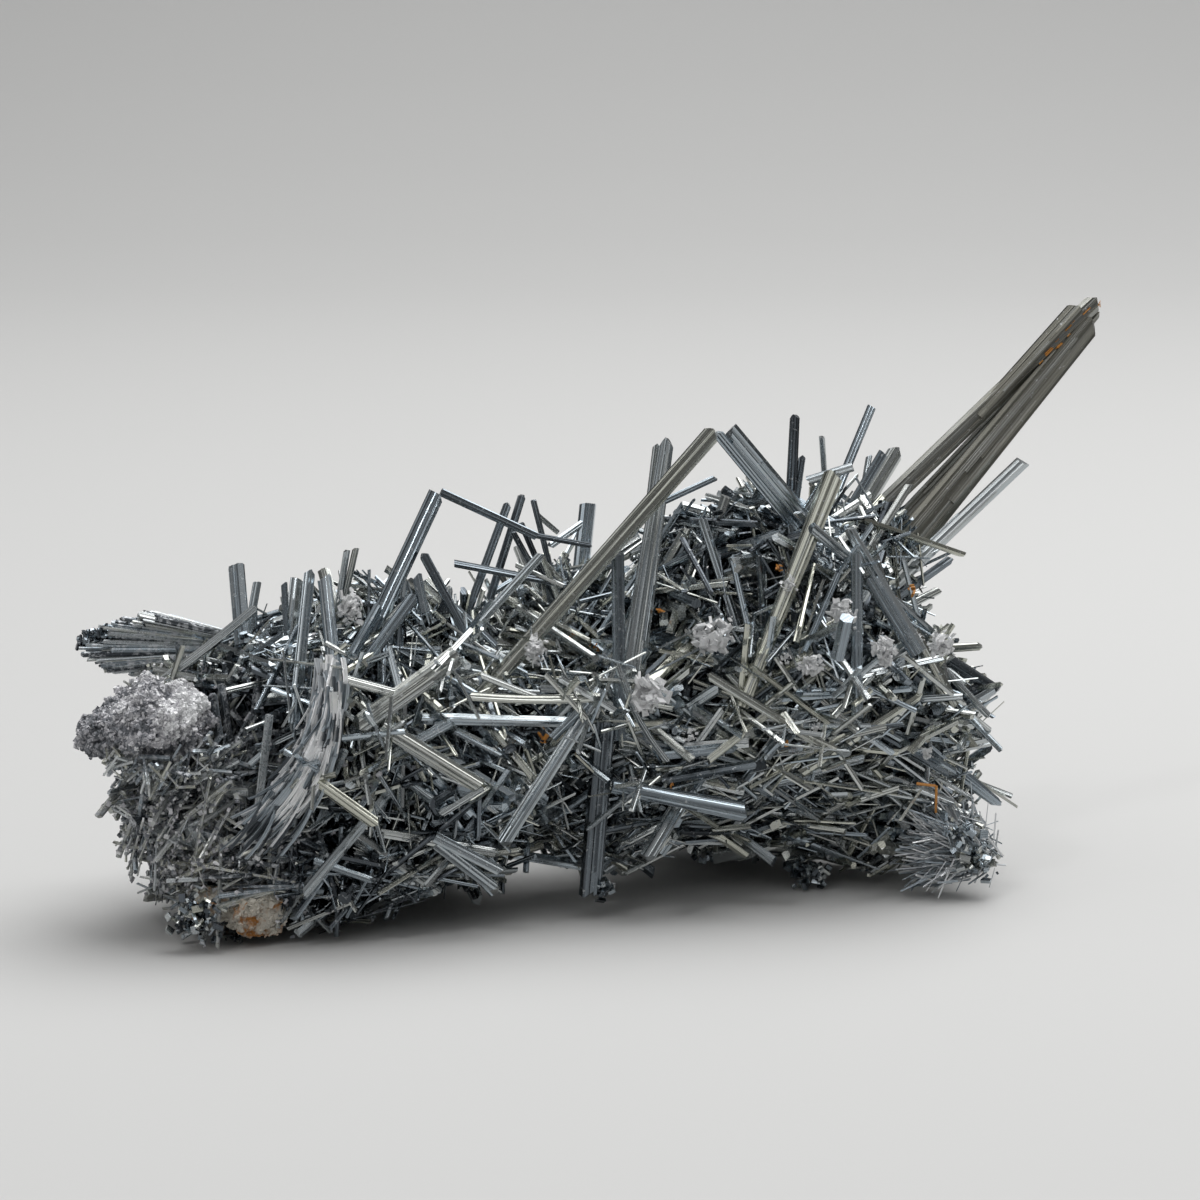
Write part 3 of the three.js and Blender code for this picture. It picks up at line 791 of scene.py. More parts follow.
# Crystals of a joined group: foot and tip in shares of the group's box, width and thickness in mm,
# taper and the cut of the tip.
GROUPS = {
    "long_blade_sheaf": [
        ((0.02, 0.14, 0.20), (1.00, 0.94, 1.00), 1.8, 1.0, 1.0, "chisel"),
        ((0.11, 0.04, 0.04), (0.99, 0.90, 0.94), 3.3, 1.2, 0.7, "chisel"),
        ((0.50, 0.52, 0.59), (0.91, 0.87, 0.975), 1.3, 0.9, 1.2, "slant"),
        ((0.08, 0.29, 0.10), (1.00, 0.98, 0.95), 1.8, 1.2, 0.8, "slant"),
    ],
    "peak_prism_pair": [
        ((0.93, 0.86, 0.07), (0.08, 0.24, 0.98), 1.7, 1.2, 1.0, "slant"),
        ((0.81, 0.72, 0.03), (-0.04, 0.03, 0.96), 1.0, 0.7, 1.0, "chisel"),
    ],
    "tall_upright_blade": [
        ((0.23, 0.07, 0.01), (0.90, 0.98, 1.01), 2.5, 1.2, 0.52, "chisel"),
        ((0.55, 0.69, 0.66), (0.72, 0.95, 0.97), 0.8, 0.56, 1.0, "chisel"),
    ],
    "top_prong_pair": [
        ((0.27, 0.13, 0.01), (0.51, 0.91, 1.02), 1.1, 0.8, 0.85, "chisel"),
        ((0.42, 0.13, 0.01), (0.86, 0.69, 0.63), 0.7, 0.5, 1.0, "chisel"),
    ],
    "arch_slender_bar": [
        ((-0.09, -0.40, 1.12), (0.60, 0.33, 0.27), 0.8, 0.56, 1.0, "flat"),
        ((0.55, 0.30, 0.31), (1.00, 0.95, 0.04), 0.6, 0.42, 1.0, "chisel"),
    ],
    "saddle_needle_fan": [
        ((0.94, 0.13, 0.01), (0.40, 0.95, 1.01), 0.6, 0.42, 1.0, "chisel"),
        ((0.90, 0.10, 0.01), (0.16, 0.70, 0.81), 0.6, 0.42, 1.0, "chisel"),
        ((0.86, 0.07, 0.01), (0.01, 0.25, 0.75), 0.6, 0.42, 1.0, "chisel"),
    ],
    "back_fat_stub_pair": [
        ((0.63, 0.12, 0.03), (0.82, 0.89, 0.98), 1.7, 1.2, 1.0, "flat"),
        ((0.78, 0.66, 0.77), (0.01, 0.03, 0.52), 0.7, 0.5, 1.0, "chisel"),
    ],
    "right_flank_blades": [
        ((0.94, 0.20, 0.05), (0.01, 0.93, 1.02), 1.1, 0.77, 1.0, "chisel"),
        ((0.88, 0.11, 0.03), (0.26, 0.47, 0.66), 1.4, 0.98, 1.0, "chisel"),
    ],
    "left_low_pair": [
        ((0.07, 0.33, 0.79), (0.93, 0.83, 0.00), 1.1, 0.77, 1.0, "chisel"),
        ((0.04, 0.17, 0.92), (1.02, 0.63, 0.30), 1.0, 0.7, 1.0, "chisel"),
    ],
    "left_top_stub_pair": [
        ((0.50, 0.10, 0.04), (0.24, 0.91, 0.96), 1.6, 1.1, 1.0, "flat"),
        ((0.59, 0.19, 0.04), (0.88, 0.70, 0.76), 0.8, 0.56, 1.0, "flat"),
    ],
}

# Small crystals with no node of their own: foot and tip in shares of the whole box, width in mm.
SMALL_CRYSTALS = [
    ((0.792, 0.631, 0.480), (0.834, 0.713, 0.503), 0.8),
    ((0.741, 0.795, 0.661), (0.767, 0.857, 0.727), 0.6),
    ((0.740, 0.474, 0.762), (0.695, 0.480, 0.735), 0.9),
    ((0.567, 0.487, 0.688), (0.611, 0.507, 0.739), 0.6),
    ((0.335, 0.240, 0.546), (0.327, 0.260, 0.612), 0.9),
    ((0.259, 0.260, 0.565), (0.270, 0.302, 0.650), 0.6),
    ((0.254, 0.260, 0.565), (0.262, 0.281, 0.650), 0.6),
    ((0.458, 0.528, 0.637), (0.423, 0.528, 0.682), 0.5),
    ((0.697, 0.507, 0.669), (0.714, 0.528, 0.731), 0.7),
    ((0.642, 0.384, 0.472), (0.624, 0.446, 0.612), 0.6),
    ((0.693, 0.363, 0.455), (0.727, 0.425, 0.586), 0.6),
    ((0.743, 0.343, 0.317), (0.689, 0.343, 0.423), 0.7),
    ((0.801, 0.404, 0.342), (0.749, 0.384, 0.391), 0.5),
    ((0.847, 0.446, 0.359), (0.797, 0.425, 0.336), 0.7),
    ((0.457, 0.240, 0.397), (0.386, 0.178, 0.450), 0.6),
    ((0.454, 0.219, 0.331), (0.489, 0.240, 0.391), 0.8),
    ((0.305, 0.116, 0.453), (0.260, 0.075, 0.463), 0.9),
    ((0.313, 0.116, 0.435), (0.302, 0.158, 0.504), 0.7),
    ((0.417, 0.158, 0.270), (0.350, 0.075, 0.227), 0.6),
    ((0.194, 0.281, 0.540), (0.201, 0.322, 0.586), 0.6),
    ((0.212, 0.178, 0.495), (0.152, 0.116, 0.433), 0.6),
]


# Most that a prism is turned about its length, in radians: a stout one, and a blade whose width
# is over this many times its thickness.
STOUT_TURN = 0.55
BLADE_TURN = 0.15
BLADE_RATIO = 1.6

# Width in mm of the prism's face for each slender crystal grown on it.
STRAND_SPACING = 0.4


def add_prism(batch, prism, end, tone, rng, bow=0.0):
    """A large prism, with slender parallel crystals grown on its faces that stop short of its tip."""
    shape = large_shape(int(rng.integers(1 << 30)), end, bow)
    foot, tip, across = (np.asarray(prism[key]) for key in ("foot", "tip", "across"))
    width, thick, taper = prism["width"], prism["thick"], prism["taper"]
    most = STOUT_TURN if width < BLADE_RATIO * thick else BLADE_TURN
    across = np.array(Matrix.Rotation(rng.uniform(-most, most), 3, Vector(tip - foot)) @ Vector(across))
    batch.add(shape, foot, tip, across, width, thick, taper, tone, rng)
    strands = int(width / (STRAND_SPACING * MM))
    if strands < 3 or bow:
        return
    along = unit(tip - foot)
    facing = np.cross(along, across)
    for _ in range(strands):
        start, stop = 0.45 * rng.random(), 0.55 + 0.43 * rng.random()
        side = rng.uniform(-0.36, 0.36)
        face = 0.42 if rng.random() < 0.7 else -0.42
        ends = []
        for share in (start, stop):
            scale = 1 + (taper - 1) * share
            ends.append(
                foot + (tip - foot) * share + across * side * width * scale + facing * face * thick * scale
            )
        strand = large_shape(int(rng.integers(1 << 30)), "slant")
        slim = width * rng.uniform(0.1, 0.26)
        batch.add(strand, *ends, across, slim, slim * 0.8, taper, tone + rng.uniform(-0.15, 0.15), rng)


def built_crystals():
    """Every named crystal as a prism, by the name of its node, measured or from its group's box."""
    crystals = {name: [(measured_prism(name), end)] for name, end in TIP_OF.items()}
    for name, members in GROUPS.items():
        crystals[name] = []
        for foot, tip, width, thick, taper, end in members:
            foot, tip = spot_in(name, foot), spot_in(name, tip)
            prism = {
                "foot": foot,
                "tip": tip,
                "across": across_from(unit(tip - foot)),
                "width": width * MM,
                "thick": thick * MM,
                "taper": taper,
            }
            crystals[name].append((prism, end))
    return crystals


class STIBNITE_OT_prisms(bpy.types.Operator):
    """Builds every named prism with grooved faces and a cut tip, in place of its node"""

    bl_idname = "stibnite.prisms"
    bl_label = "Large prisms"

    def execute(self, context):
        rng = np.random.default_rng(3)
        for name, members in built_crystals().items():
            batch = Batch()
            tone = PRISM_TONES.get(name, MIDDLE_TONE)
            for prism, end in members:
                add_prism(batch, prism, end, tone + rng.uniform(-0.08, 0.08), rng, BOWED.get(name, 0.0))
            material = weathered_material() if name in WEATHERED else prism_material()
            batch.build(f"{name}_grooved", material, "stibnite_prism", [name])
        return {"FINISHED"}


class STIBNITE_OT_small_prisms(bpy.types.Operator):
    """Builds the small crystals that stand among the large ones"""

    bl_idname = "stibnite.small_prisms"
    bl_label = "Small prisms"

    def execute(self, context):
        rng = np.random.default_rng(5)
        bed = NeedleBed()
        batch = Batch()
        for foot, tip, width in SMALL_CRYSTALS:
            foot, tip = bed.rooted(spot(foot), spot(tip))
            shape = large_shape(int(rng.integers(1 << 30)), "slant")
            across = across_from(unit(tip - foot))
            batch.add(shape, foot, tip, across, width * MM, width * 0.7 * MM, 1, rng.uniform(0.25, 0.7), rng)
        batch.build("small_prisms", prism_material(), "stibnite_prism")
        self.add_crossing(rng)
        return {"FINISHED"}

    def add_crossing(self, rng):
        """Needles that cross the lower part of each large prism, so that it stands rooted among them."""
        batch = Batch()
        shapes = needle_shapes(NEEDLE_HALF, ["chisel", "slant", "flat"], 6, 7)
        each = 7
        for name in TIP_OF:
            prism = measured_prism(name)
            foot, tip, width = prism["foot"], prism["tip"], prism["width"]
            last = 0.7 if name == "foot_blade" else 0.3
            middle = foot + (tip - foot) * rng.uniform(-0.05, last, each)[:, None]
            middle = middle + prism["across"] * rng.normal(0, 0.6, each)[:, None] * width
            middle = middle + FRONT * rng.uniform(0, 0.8, each)[:, None] * prism["thick"]
            half = unit(rng.normal(size=(each, 3))) * rng.uniform(1.4, 4.0, each)[:, None] * MM
            slim = rng.uniform(0.25, 0.8, each) * MM
            tones = rng.uniform(0.35, 0.9, each)
            add_needles(batch, shapes, middle - half, middle + half, slim, 0.7, tones, rng)
        batch.build("crossing_needles", needle_material(), "matted_needles")


# ---------------------------------------------------------------- the needle mass


def segment_gaps(foot, tip, starts, ends):
    """Shortest distance from each segment to each of the others, and how far along the other it is."""
    way, other = (tip - foot)[:, None], (ends - starts)[None]
    apart = foot[:, None] - starts[None]
    a, e = (way * way).sum(-1), (other * other).sum(-1) + 1e-18
    b, c, f = (way * other).sum(-1), (way * apart).sum(-1), (other * apart).sum(-1)
    share = np.clip((b * f - c * e) / np.maximum(a * e - b * b, 1e-18), 0, 1)
    other_share = np.clip((b * share + f) / e, 0, 1)
    share = np.clip((b * other_share - c) / a, 0, 1)
    gap = apart + way * share[..., None] - other * other_share[..., None]
    return np.linalg.norm(gap, axis=-1), share, other_share


# Size in mm of the waves that set where the hollows are, how high a wave has to be for one, and
# how far below the surface they go in mm.
HOLLOW_SIZE = 1.7
HOLLOW_SHARE = 0.24
HOLLOW_DEPTH = 2.6

# The deep hollow between the crust and the silky bundle: middle and reach in shares of the whole box.
DEEP_HOLLOW = ((0.18, 0.11, 0.39), (0.04, 0.25, 0.09))

# A crystal stands free when it is further than this from its neighbours, in mm.
TOUCHING = 0.15

# Needles may grow through a named crystal up to this share of its length, and past the second
# share only this many of them may cross in front of it.
FOOT_SHARE = 0.12
TIP_SHARE = 0.35
CROSSING = 0.12

# How deep the deepest of a needle's ends and middle has to be in the mass, in mm.
HELD = 0.5


class NeedleBed:
    """The solid of the needle mass, and the crystals that its needles keep clear of."""

    def __init__(self):
        self.rng = np.random.default_rng(61)
        bm = bmesh.new()
        bm.from_mesh(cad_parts["needle_mass"].data)
        bmesh.ops.remove_doubles(bm, verts=bm.verts, dist=0.001 * MM)
        self.tree = BVHTree.FromBMesh(bm)
        self.corners = np.array([[vertex.co for vertex in face.verts] for face in bm.faces])
        self.normals = np.array([face.normal for face in bm.faces])
        areas = np.array([face.calc_area() for face in bm.faces])
        self.weights = areas / areas.sum()
        bm.free()
        elevation = bpy.context.scene.stibnite_stage.elevation
        self.sight = np.array((0, math.cos(elevation), -math.sin(elevation)))
        self.set_obstacles()

    def set_obstacles(self):
        """A line and a radius for each crystal or crust that stands in the mass."""
        rows = []
        for members in built_crystals().values():
            for prism, _ in members:
                rows.append((prism["foot"], prism["tip"], prism["width"] * 0.45))
        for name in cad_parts:
            if name.startswith("clear_") or name in ("sugary_crust", "orange_sliver"):
                low, high = corners_of(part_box(name))
                reach = (high - low) / 2
                if name == "sugary_crust":
                    reach = reach * 0.75
                middle, size = (low + high) / 2, reach.min()
                line = np.where(reach == reach.max(), reach - size, 0)
                rows.append((middle - line, middle + line, size))
        self.starts, self.ends, self.radii = (np.array(column) for column in zip(*rows))

    def surface(self, rng, count):
        """Points spread evenly over the solid's surface, with its outward normals there."""
        chosen = rng.choice(len(self.weights), count, p=self.weights)
        r = np.sqrt(rng.random(count))[:, None]
        s = rng.random(count)[:, None]
        a, b, c = (self.corners[chosen][:, i] for i in range(3))
        return a * (1 - r) + b * r * (1 - s) + c * r * s, self.normals[chosen]

    def depth(self, points):
        """How deep inside the solid each point is, negative outside."""
        depths = []
        for point in points:
            place, normal, _, distance = self.tree.find_nearest(Vector(point))
            inside = (place - Vector(point)).dot(normal) > 0
            depths.append(distance if inside else -distance)
        return np.array(depths)

    def rooted(self, foot, tip):
        """A crystal's ends. If it stands free, its nearer end moves into the mass or the next crystal."""
        ends = np.array([foot, tip])
        depths = self.depth(ends)
        gap, share, place = (value[0] for value in segment_gaps(ends[:1], ends[1:], self.starts, self.ends))
        loose = gap - self.radii
        if depths.max() > 0 or loose.min() < TOUCHING * MM:
            return ends
        if -depths.max() < 1.5 * loose.min():
            nearer = depths.argmax()
            surface, normal, _, _ = self.tree.find_nearest(Vector(ends[nearer]))
            ends[nearer] = surface - normal * 2 * ROOT * MM
        else:
            other = loose.argmin()
            nearer = int(share[other] > 0.5)
            ends[nearer] = self.starts[other] + (self.ends - self.starts)[other] * place[other]
        return ends

    def clear(self, foot, tip, radius):
        """Whether each needle keeps out of the named crystals, and seldom crosses in front of their tips."""
        gap, _, place = segment_gaps(foot, tip, self.starts, self.ends)
        grown_in = place < FOOT_SHARE
        free = ((gap > self.radii[None] + radius[:, None]) | grown_in).all(axis=1)
        flat = [p - (p @ self.sight)[:, None] * self.sight for p in (foot, tip, self.starts, self.ends)]
        gap, share, place = segment_gaps(*flat)
        near = (foot @ self.sight)[:, None] * (1 - share) + (tip @ self.sight)[:, None] * share
        far = (self.starts @ self.sight) * (1 - place) + (self.ends @ self.sight) * place
        hides = (gap < self.radii[None] + radius[:, None]) & (near < far) & (place > TIP_SHARE)
        allowed = self.rng.random(len(foot)) < CROSSING
        return free & (allowed | ~hides.any(axis=1))

    def hollow(self, points):
        """Whether each point lies in one of the dark hollows between the crystals."""
        x, y, z = points.T / (HOLLOW_SIZE * MM)
        wave = np.sin(x + 1.3 * np.sin(0.7 * y)) * np.sin(y + 1.1 * np.sin(0.8 * z)) * np.sin(z + np.sin(x))
        return (wave > HOLLOW_SHARE) | (nearness(points, *DEEP_HOLLOW) > 0.4)

    def kept(self, foot, tip, radius, proud):
        """Whether each needle lies in the mass, no more than proud out of it, and clear of its neighbours."""
        low, high = corners_of(CAD_BOX)
        margin = radius[:, None] * 1.2
        good = ((foot > low + margin) & (foot < high - margin)).all(axis=1)
        good &= ((tip > low + margin) & (tip < high - margin)).all(axis=1)
        good &= self.clear(foot, tip, radius)
        places = np.flatnonzero(good)
        depths = [self.depth(points[places]) for points in (foot, tip, (foot + tip) / 2)]
        held = np.maximum.reduce(depths) > HELD * MM
        good[places] = (np.minimum(depths[0], depths[1]) > -proud[places]) & held
        return good


# Where pale dust and sugar grains lie on the needles: middle and reach in shares of the whole box.
DUSTY = ((0.10, 0.10, 0.22), (0.16, 0.40, 0.28))
REGIONS = ("left_lobe", "right_lobe", "dusty_front")

# Painted shade and painted light on the needles: middle and reach in shares of the whole box, and change of
# tone. The negative changes are painted shade and the positive one is painted light.
PAINTED_SHADE_AND_LIGHT = [
    ((0.18, 0.11, 0.39), (0.05, 0.25, 0.12), -0.5),  # between the crust and the silky bundle
    ((0.31, 0.50, 0.62), (0.20, 0.60, 0.12), -0.12),  # top of the left lobe
    ((0.62, 0.50, 0.66), (0.16, 0.60, 0.14), -0.15),  # left shoulder of the right lobe
    ((0.75, 0.60, 0.72), (0.10, 0.50, 0.12), -0.2),  # top of the right lobe
    ((0.84, 0.44, 0.14), (0.10, 0.50, 0.16), 0.2),  # right foot
    ((0.26, 0.06, 0.09), (0.12, 0.30, 0.12), -0.35),  # under the front of the left lobe
]

# Where needles reach further out of the mass: middle and reach in shares of the whole box.
RAGGED_EDGE = ((0.02, 0.15, 0.28), (0.08, 0.50, 0.14))


# Where the needles of a region run one way: middle and reach of the region in shares of the whole
# box, the direction, and how strongly it holds. A direction of None spreads from the middle.
RUNS = [
    ((0.78, 0.45, 0.22), (0.28, 0.35, 0.24), (1.0, 0.0, 0.18), 1.5),  # low on the right lobe
    ((0.60, 0.35, 0.30), (0.14, 0.30, 0.20), (1.0, 0.0, -0.15), 0.8),  # front of the saddle
    ((0.34, 0.20, 0.42), (0.20, 0.35, 0.36), None, 1.3),  # front of the left lobe
    ((0.14, 0.10, 0.22), (0.12, 0.40, 0.25), (-0.62, -0.1, -0.75), 1.5),  # below the crust
]


def needle_directions(points, normals, lean, rng):
    """A direction for each needle: along the surface, leaning out of it, and with the run of its region."""
    random = unit(rng.normal(size=points.shape))
    lying = unit(random - (random * normals).sum(-1)[:, None] * normals)
    ways = lying + normals * lean[:, None]
    for middle, reach, run, hold in RUNS:
        inside = nearness(points, middle, reach)
        toward = unit(points - spot(middle)) if run is None else unit(np.array(run))
        sign = np.sign((ways * toward).sum(-1))[:, None] if run is not None else 1.0
        ways = ways + toward * sign * (inside * hold * rng.random(len(points)))[:, None]
    return unit(ways)


def across_any(along, rng):
    """A direction across each crystal, turned at random."""
    random = rng.normal(size=along.shape)
    return unit(np.cross(random, along))


def needle_shapes(half, ends, count, seed):
    """A set of plain needle shapes of a few dozen faces each, whose sections differ a little."""
    rng = np.random.default_rng(seed)
    shapes = []
    for i in range(count):
        section = [(x * rng.uniform(0.85, 1), y * rng.uniform(0.8, 1)) for x, y in half]
        tip_cuts = TIP_CUTS[ends[i % len(ends)]]
        shapes.append(crystal_shape(outline_of(section), tip_cuts, foot_cuts=[(14, 40 * i)]))
    return shapes


def add_needles(batches, shapes, foot, tip, width, flat, tone, rng):
    """Adds needles to one batch, or to one each for the left lobe, the right lobe and the dusty region."""
    batches = batches if isinstance(batches, list) else [batches] * len(REGIONS)
    kinds = rng.integers(len(shapes), size=len(foot))
    across = across_any(unit(tip - foot), rng)
    region = ((foot + tip)[:, 0] > 2 * spot((0.42, 0, 0))[0]).astype(int)
    dust = nearness((foot + tip) / 2, *DUSTY)
    region[dust > 0.4] = 2
    tone = tone * (1 + 0.7 * dust) - 0.1 * dust
    # Painted shade and painted light: each region darkens or lightens the needles' tone.
    for middle, reach, change in PAINTED_SHADE_AND_LIGHT:
        tone = tone + change * nearness((foot + tip) / 2, middle, reach)
    for kind, shape in enumerate(shapes):
        for number, batch in enumerate(batches):
            chosen = (kinds == kind) & (region == number)
            if chosen.any():
                taper = rng.uniform(0.75, 1.1, chosen.sum())
                batch.add(
                    shape,
                    foot[chosen],
                    tip[chosen],
                    across[chosen],
                    width[chosen],
                    (width * flat)[chosen],
                    taper,
                    tone[chosen],
                    rng,
                )


# How far the middle of a surface needle sinks below the surface at most, in mm, how far it is
# shifted from its bundle's middle in mm, and how far it turns from its bundle in radians.
SUNK = 3.2
BUNDLE_SPREAD = 0.6
BUNDLE_TURN = 0.07

# Shares by which dust makes needles shorter and thinner.
DUST_SHORTENS = 0.45
DUST_THINS = 0.35

# The share of needles that reach further out of the mass than the others, and how much further.
LONG_SHARE = 0.06
LONG_REACH = 1.6


def bundled(bed, rng, count, sizes, lengths, widths, lean, proud):
    """Needles in near parallel bundles at the surface, as feet, tips and widths.

    Sizes is the range of needles in a bundle, lengths and widths are ranges in mm, and lean is the
    mean and spread of how steeply they leave the surface. Low on the mass they reach out less.
    """
    points, normals = bed.surface(rng, count)
    outward = rng.normal(lean[0], lean[1], count)
    ways = needle_directions(points, normals, outward, rng)
    size = rng.integers(sizes[0], sizes[1] + 1, count)
    length = rng.uniform(*lengths, count) * MM
    width = widths[0] + (widths[1] - widths[0]) * rng.random(count) ** 1.8
    points, normals, ways, length, width = (
        np.repeat(value, size, axis=0) for value in (points, normals, ways, length, width)
    )
    total = len(points)
    ways = unit(ways + rng.normal(0, BUNDLE_TURN, (total, 3)))
    dust = nearness(points, *DUSTY)
    length = length * rng.uniform(0.55, 1, total) * (1 - DUST_SHORTENS * dust)
    width = width * rng.uniform(0.6, 1.1, total) * MM * (1 - DUST_THINS * dust)
    sunk = rng.uniform(0.0, SUNK, total) * MM
    middle = points - normals * sunk[:, None] + rng.normal(0, BUNDLE_SPREAD * MM, (total, 3))
    share = rng.uniform(0.3, 0.7, total)
    foot = middle - ways * (length * share)[:, None]
    tip = middle + ways * (length * (1 - share))[:, None]
    reach = np.where(rng.random(total) < LONG_SHARE, LONG_REACH, 1.0) * proud * rng.uniform(0.3, 1, total)
    height = (points - spot((0, 0, 0)))[:, 2] / (spot((0, 0, 1)) - spot((0, 0, 0)))[2]
    reach = reach * (1 + 0.6 * nearness(points, *RAGGED_EDGE)) * np.clip(0.4 + 1.5 * height, 0.4, 1)
    good = ~(bed.hollow(middle) & (sunk < HOLLOW_DEPTH * MM))
    good[good] = bed.kept(foot[good], tip[good], width[good] / 2, reach[good])
    return foot[good], tip[good], width[good]


class STIBNITE_OT_needles(bpy.types.Operator):
    """Fills and covers the mass with separate needles, in place of its solid"""

    bl_idname = "stibnite.needles"
    bl_label = "Needle mass"

    def execute(self, context):
        settings = context.scene.stibnite_needles
        scattered = context.scene.stibnite_prisms.scattered
        proud = settings.proud
        bed = NeedleBed()
        rng = np.random.default_rng(17)
        self.add_inner(bed, settings.inner, rng)
        needles = self.add_surface(bed, settings.bundles, proud, rng)
        self.add_sugar(*needles, settings.sugar, rng)
        self.add_fine(bed, settings, proud, rng)
        self.add_scattered(bed, scattered, proud, np.random.default_rng(18))
        return {"FINISHED"}

    def add_surface(self, bed, count, proud, rng):
        """The needles that cover the mass, as feet, tips and widths."""
        surface = [Batch() for _ in REGIONS]
        shapes = needle_shapes(NEEDLE_HALF, ["chisel", "slant", "flat", "point"], 14, 21)
        foot, tip, width = bundled(bed, rng, count, (1, 4), (7, 19), (0.4, 1.4), (0.1, 0.35), proud)
        add_needles(surface, shapes, foot, tip, width, 0.7, rng.beta(2, 2, len(foot)), rng)
        self.build_regions(surface, "needles", ["needle_mass"])
        return foot, tip, width

    def add_fine(self, bed, settings, proud, rng):
        """Hair-fine needles, and short chips that stand out less."""
        fine = [Batch() for _ in REGIONS]
        shapes = needle_shapes(CHIP_HALF, ["slant", "flat"], 6, 22)
        kinds = (
            (settings.hairs, (1, 3), (3, 9), (0.15, 0.34), (0.2, 0.5), proud, 0.9),
            (settings.chips, (1, 2), (0.5, 2.2), (0.2, 0.7), (0.3, 0.6), proud * 0.6, 0.6),
        )
        for count, sizes, lengths, widths, lean, reach, flat in kinds:
            foot, tip, width = bundled(bed, rng, count, sizes, lengths, widths, lean, reach)
            add_needles(fine, shapes, foot, tip, width, flat, rng.beta(2, 2, len(foot)), rng)
        self.build_regions(fine, "hairs_and_chips")

    def add_scattered(self, bed, count, proud, rng):
        """Prisms of middle size, which stand further out and keep off the dusty region."""
        batch = Batch()
        shapes = needle_shapes(SECTION_HALF, ["chisel", "slant", "flat"], 12, 23)
        foot, tip, width = bundled(bed, rng, count, (1, 2), (9, 22), (0.9, 1.8), (0.6, 0.5), proud * 1.8)
        kept = nearness((foot + tip) / 2, *DUSTY) < 0.35
        foot, tip, width = foot[kept], tip[kept], width[kept]
        add_needles(batch, shapes, foot, tip, width, 0.68, rng.beta(2.5, 2, len(foot)), rng)
        batch.build("scattered_prisms", prism_material(), "stibnite_prism")

    def build_regions(self, batches, name, replaces=()):
        """Makes one piece of each region's batch."""
        for batch, region in zip(batches, REGIONS):
            material = dusted_material() if region == "dusty_front" else needle_material()
            batch.build(f"{name}_{region}", material, "matted_needles", replaces)

    def add_sugar(self, foot, tip, width, count, rng):
        """Small pale grains that lie on the needles of the dusty region."""
        weights = nearness((foot + tip) / 2, *DUSTY)
        chosen = rng.choice(len(foot), count, p=weights / weights.sum())
        place = foot[chosen] + (tip - foot)[chosen] * rng.random(count)[:, None]
        place = place + unit(rng.normal(size=(count, 3))) * width[chosen][:, None] * 0.45
        batch = Batch()
        sizes = rng.uniform(0.15, 0.5, count) * MM
        add_blocks(batch, block_shapes(25), place, sizes, rng.uniform(0, 0.6, count), rng)
        material = shared_material("quartz_druse_sugary", sugary_crust)
        batch.build("sugar_grains", material, "sugary_crust")

    def add_inner(self, bed, count, rng):
        """Thick needles inside the mass, with both ends in it, whose darker tones are painted shade."""
        low, high = corners_of(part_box("needle_mass"))
        middle = rng.uniform(low, high, (count * 3, 3))
        middle = middle[bed.depth(middle) > 2.0 * MM][:count]
        total = len(middle)
        half = unit(rng.normal(size=(total, 3))) * rng.uniform(2.2, 4.5, total)[:, None] * MM
        foot, tip = middle - half, middle + half
        width = rng.uniform(0.8, 1.8, total) * MM
        good = bed.kept(foot, tip, width / 2, np.full(total, -0.1 * MM))
        batches = [Batch() for _ in REGIONS]
        shapes = needle_shapes([(1, -0.2), (0.6, 0.9), (-0.6, 0.95)], ["flat"], 4, 24)
        # Painted shade: the inner needles take darker tones than the surface needles, for the shade inside
        # the mass.
        tone = rng.uniform(-0.1, 0.5, good.sum())
        add_needles(batches, shapes, foot[good], tip[good], width[good], 0.8, tone, rng)
        self.build_regions(batches, "inner_needles")


# ---------------------------------------------------------------- fan and silky bundle


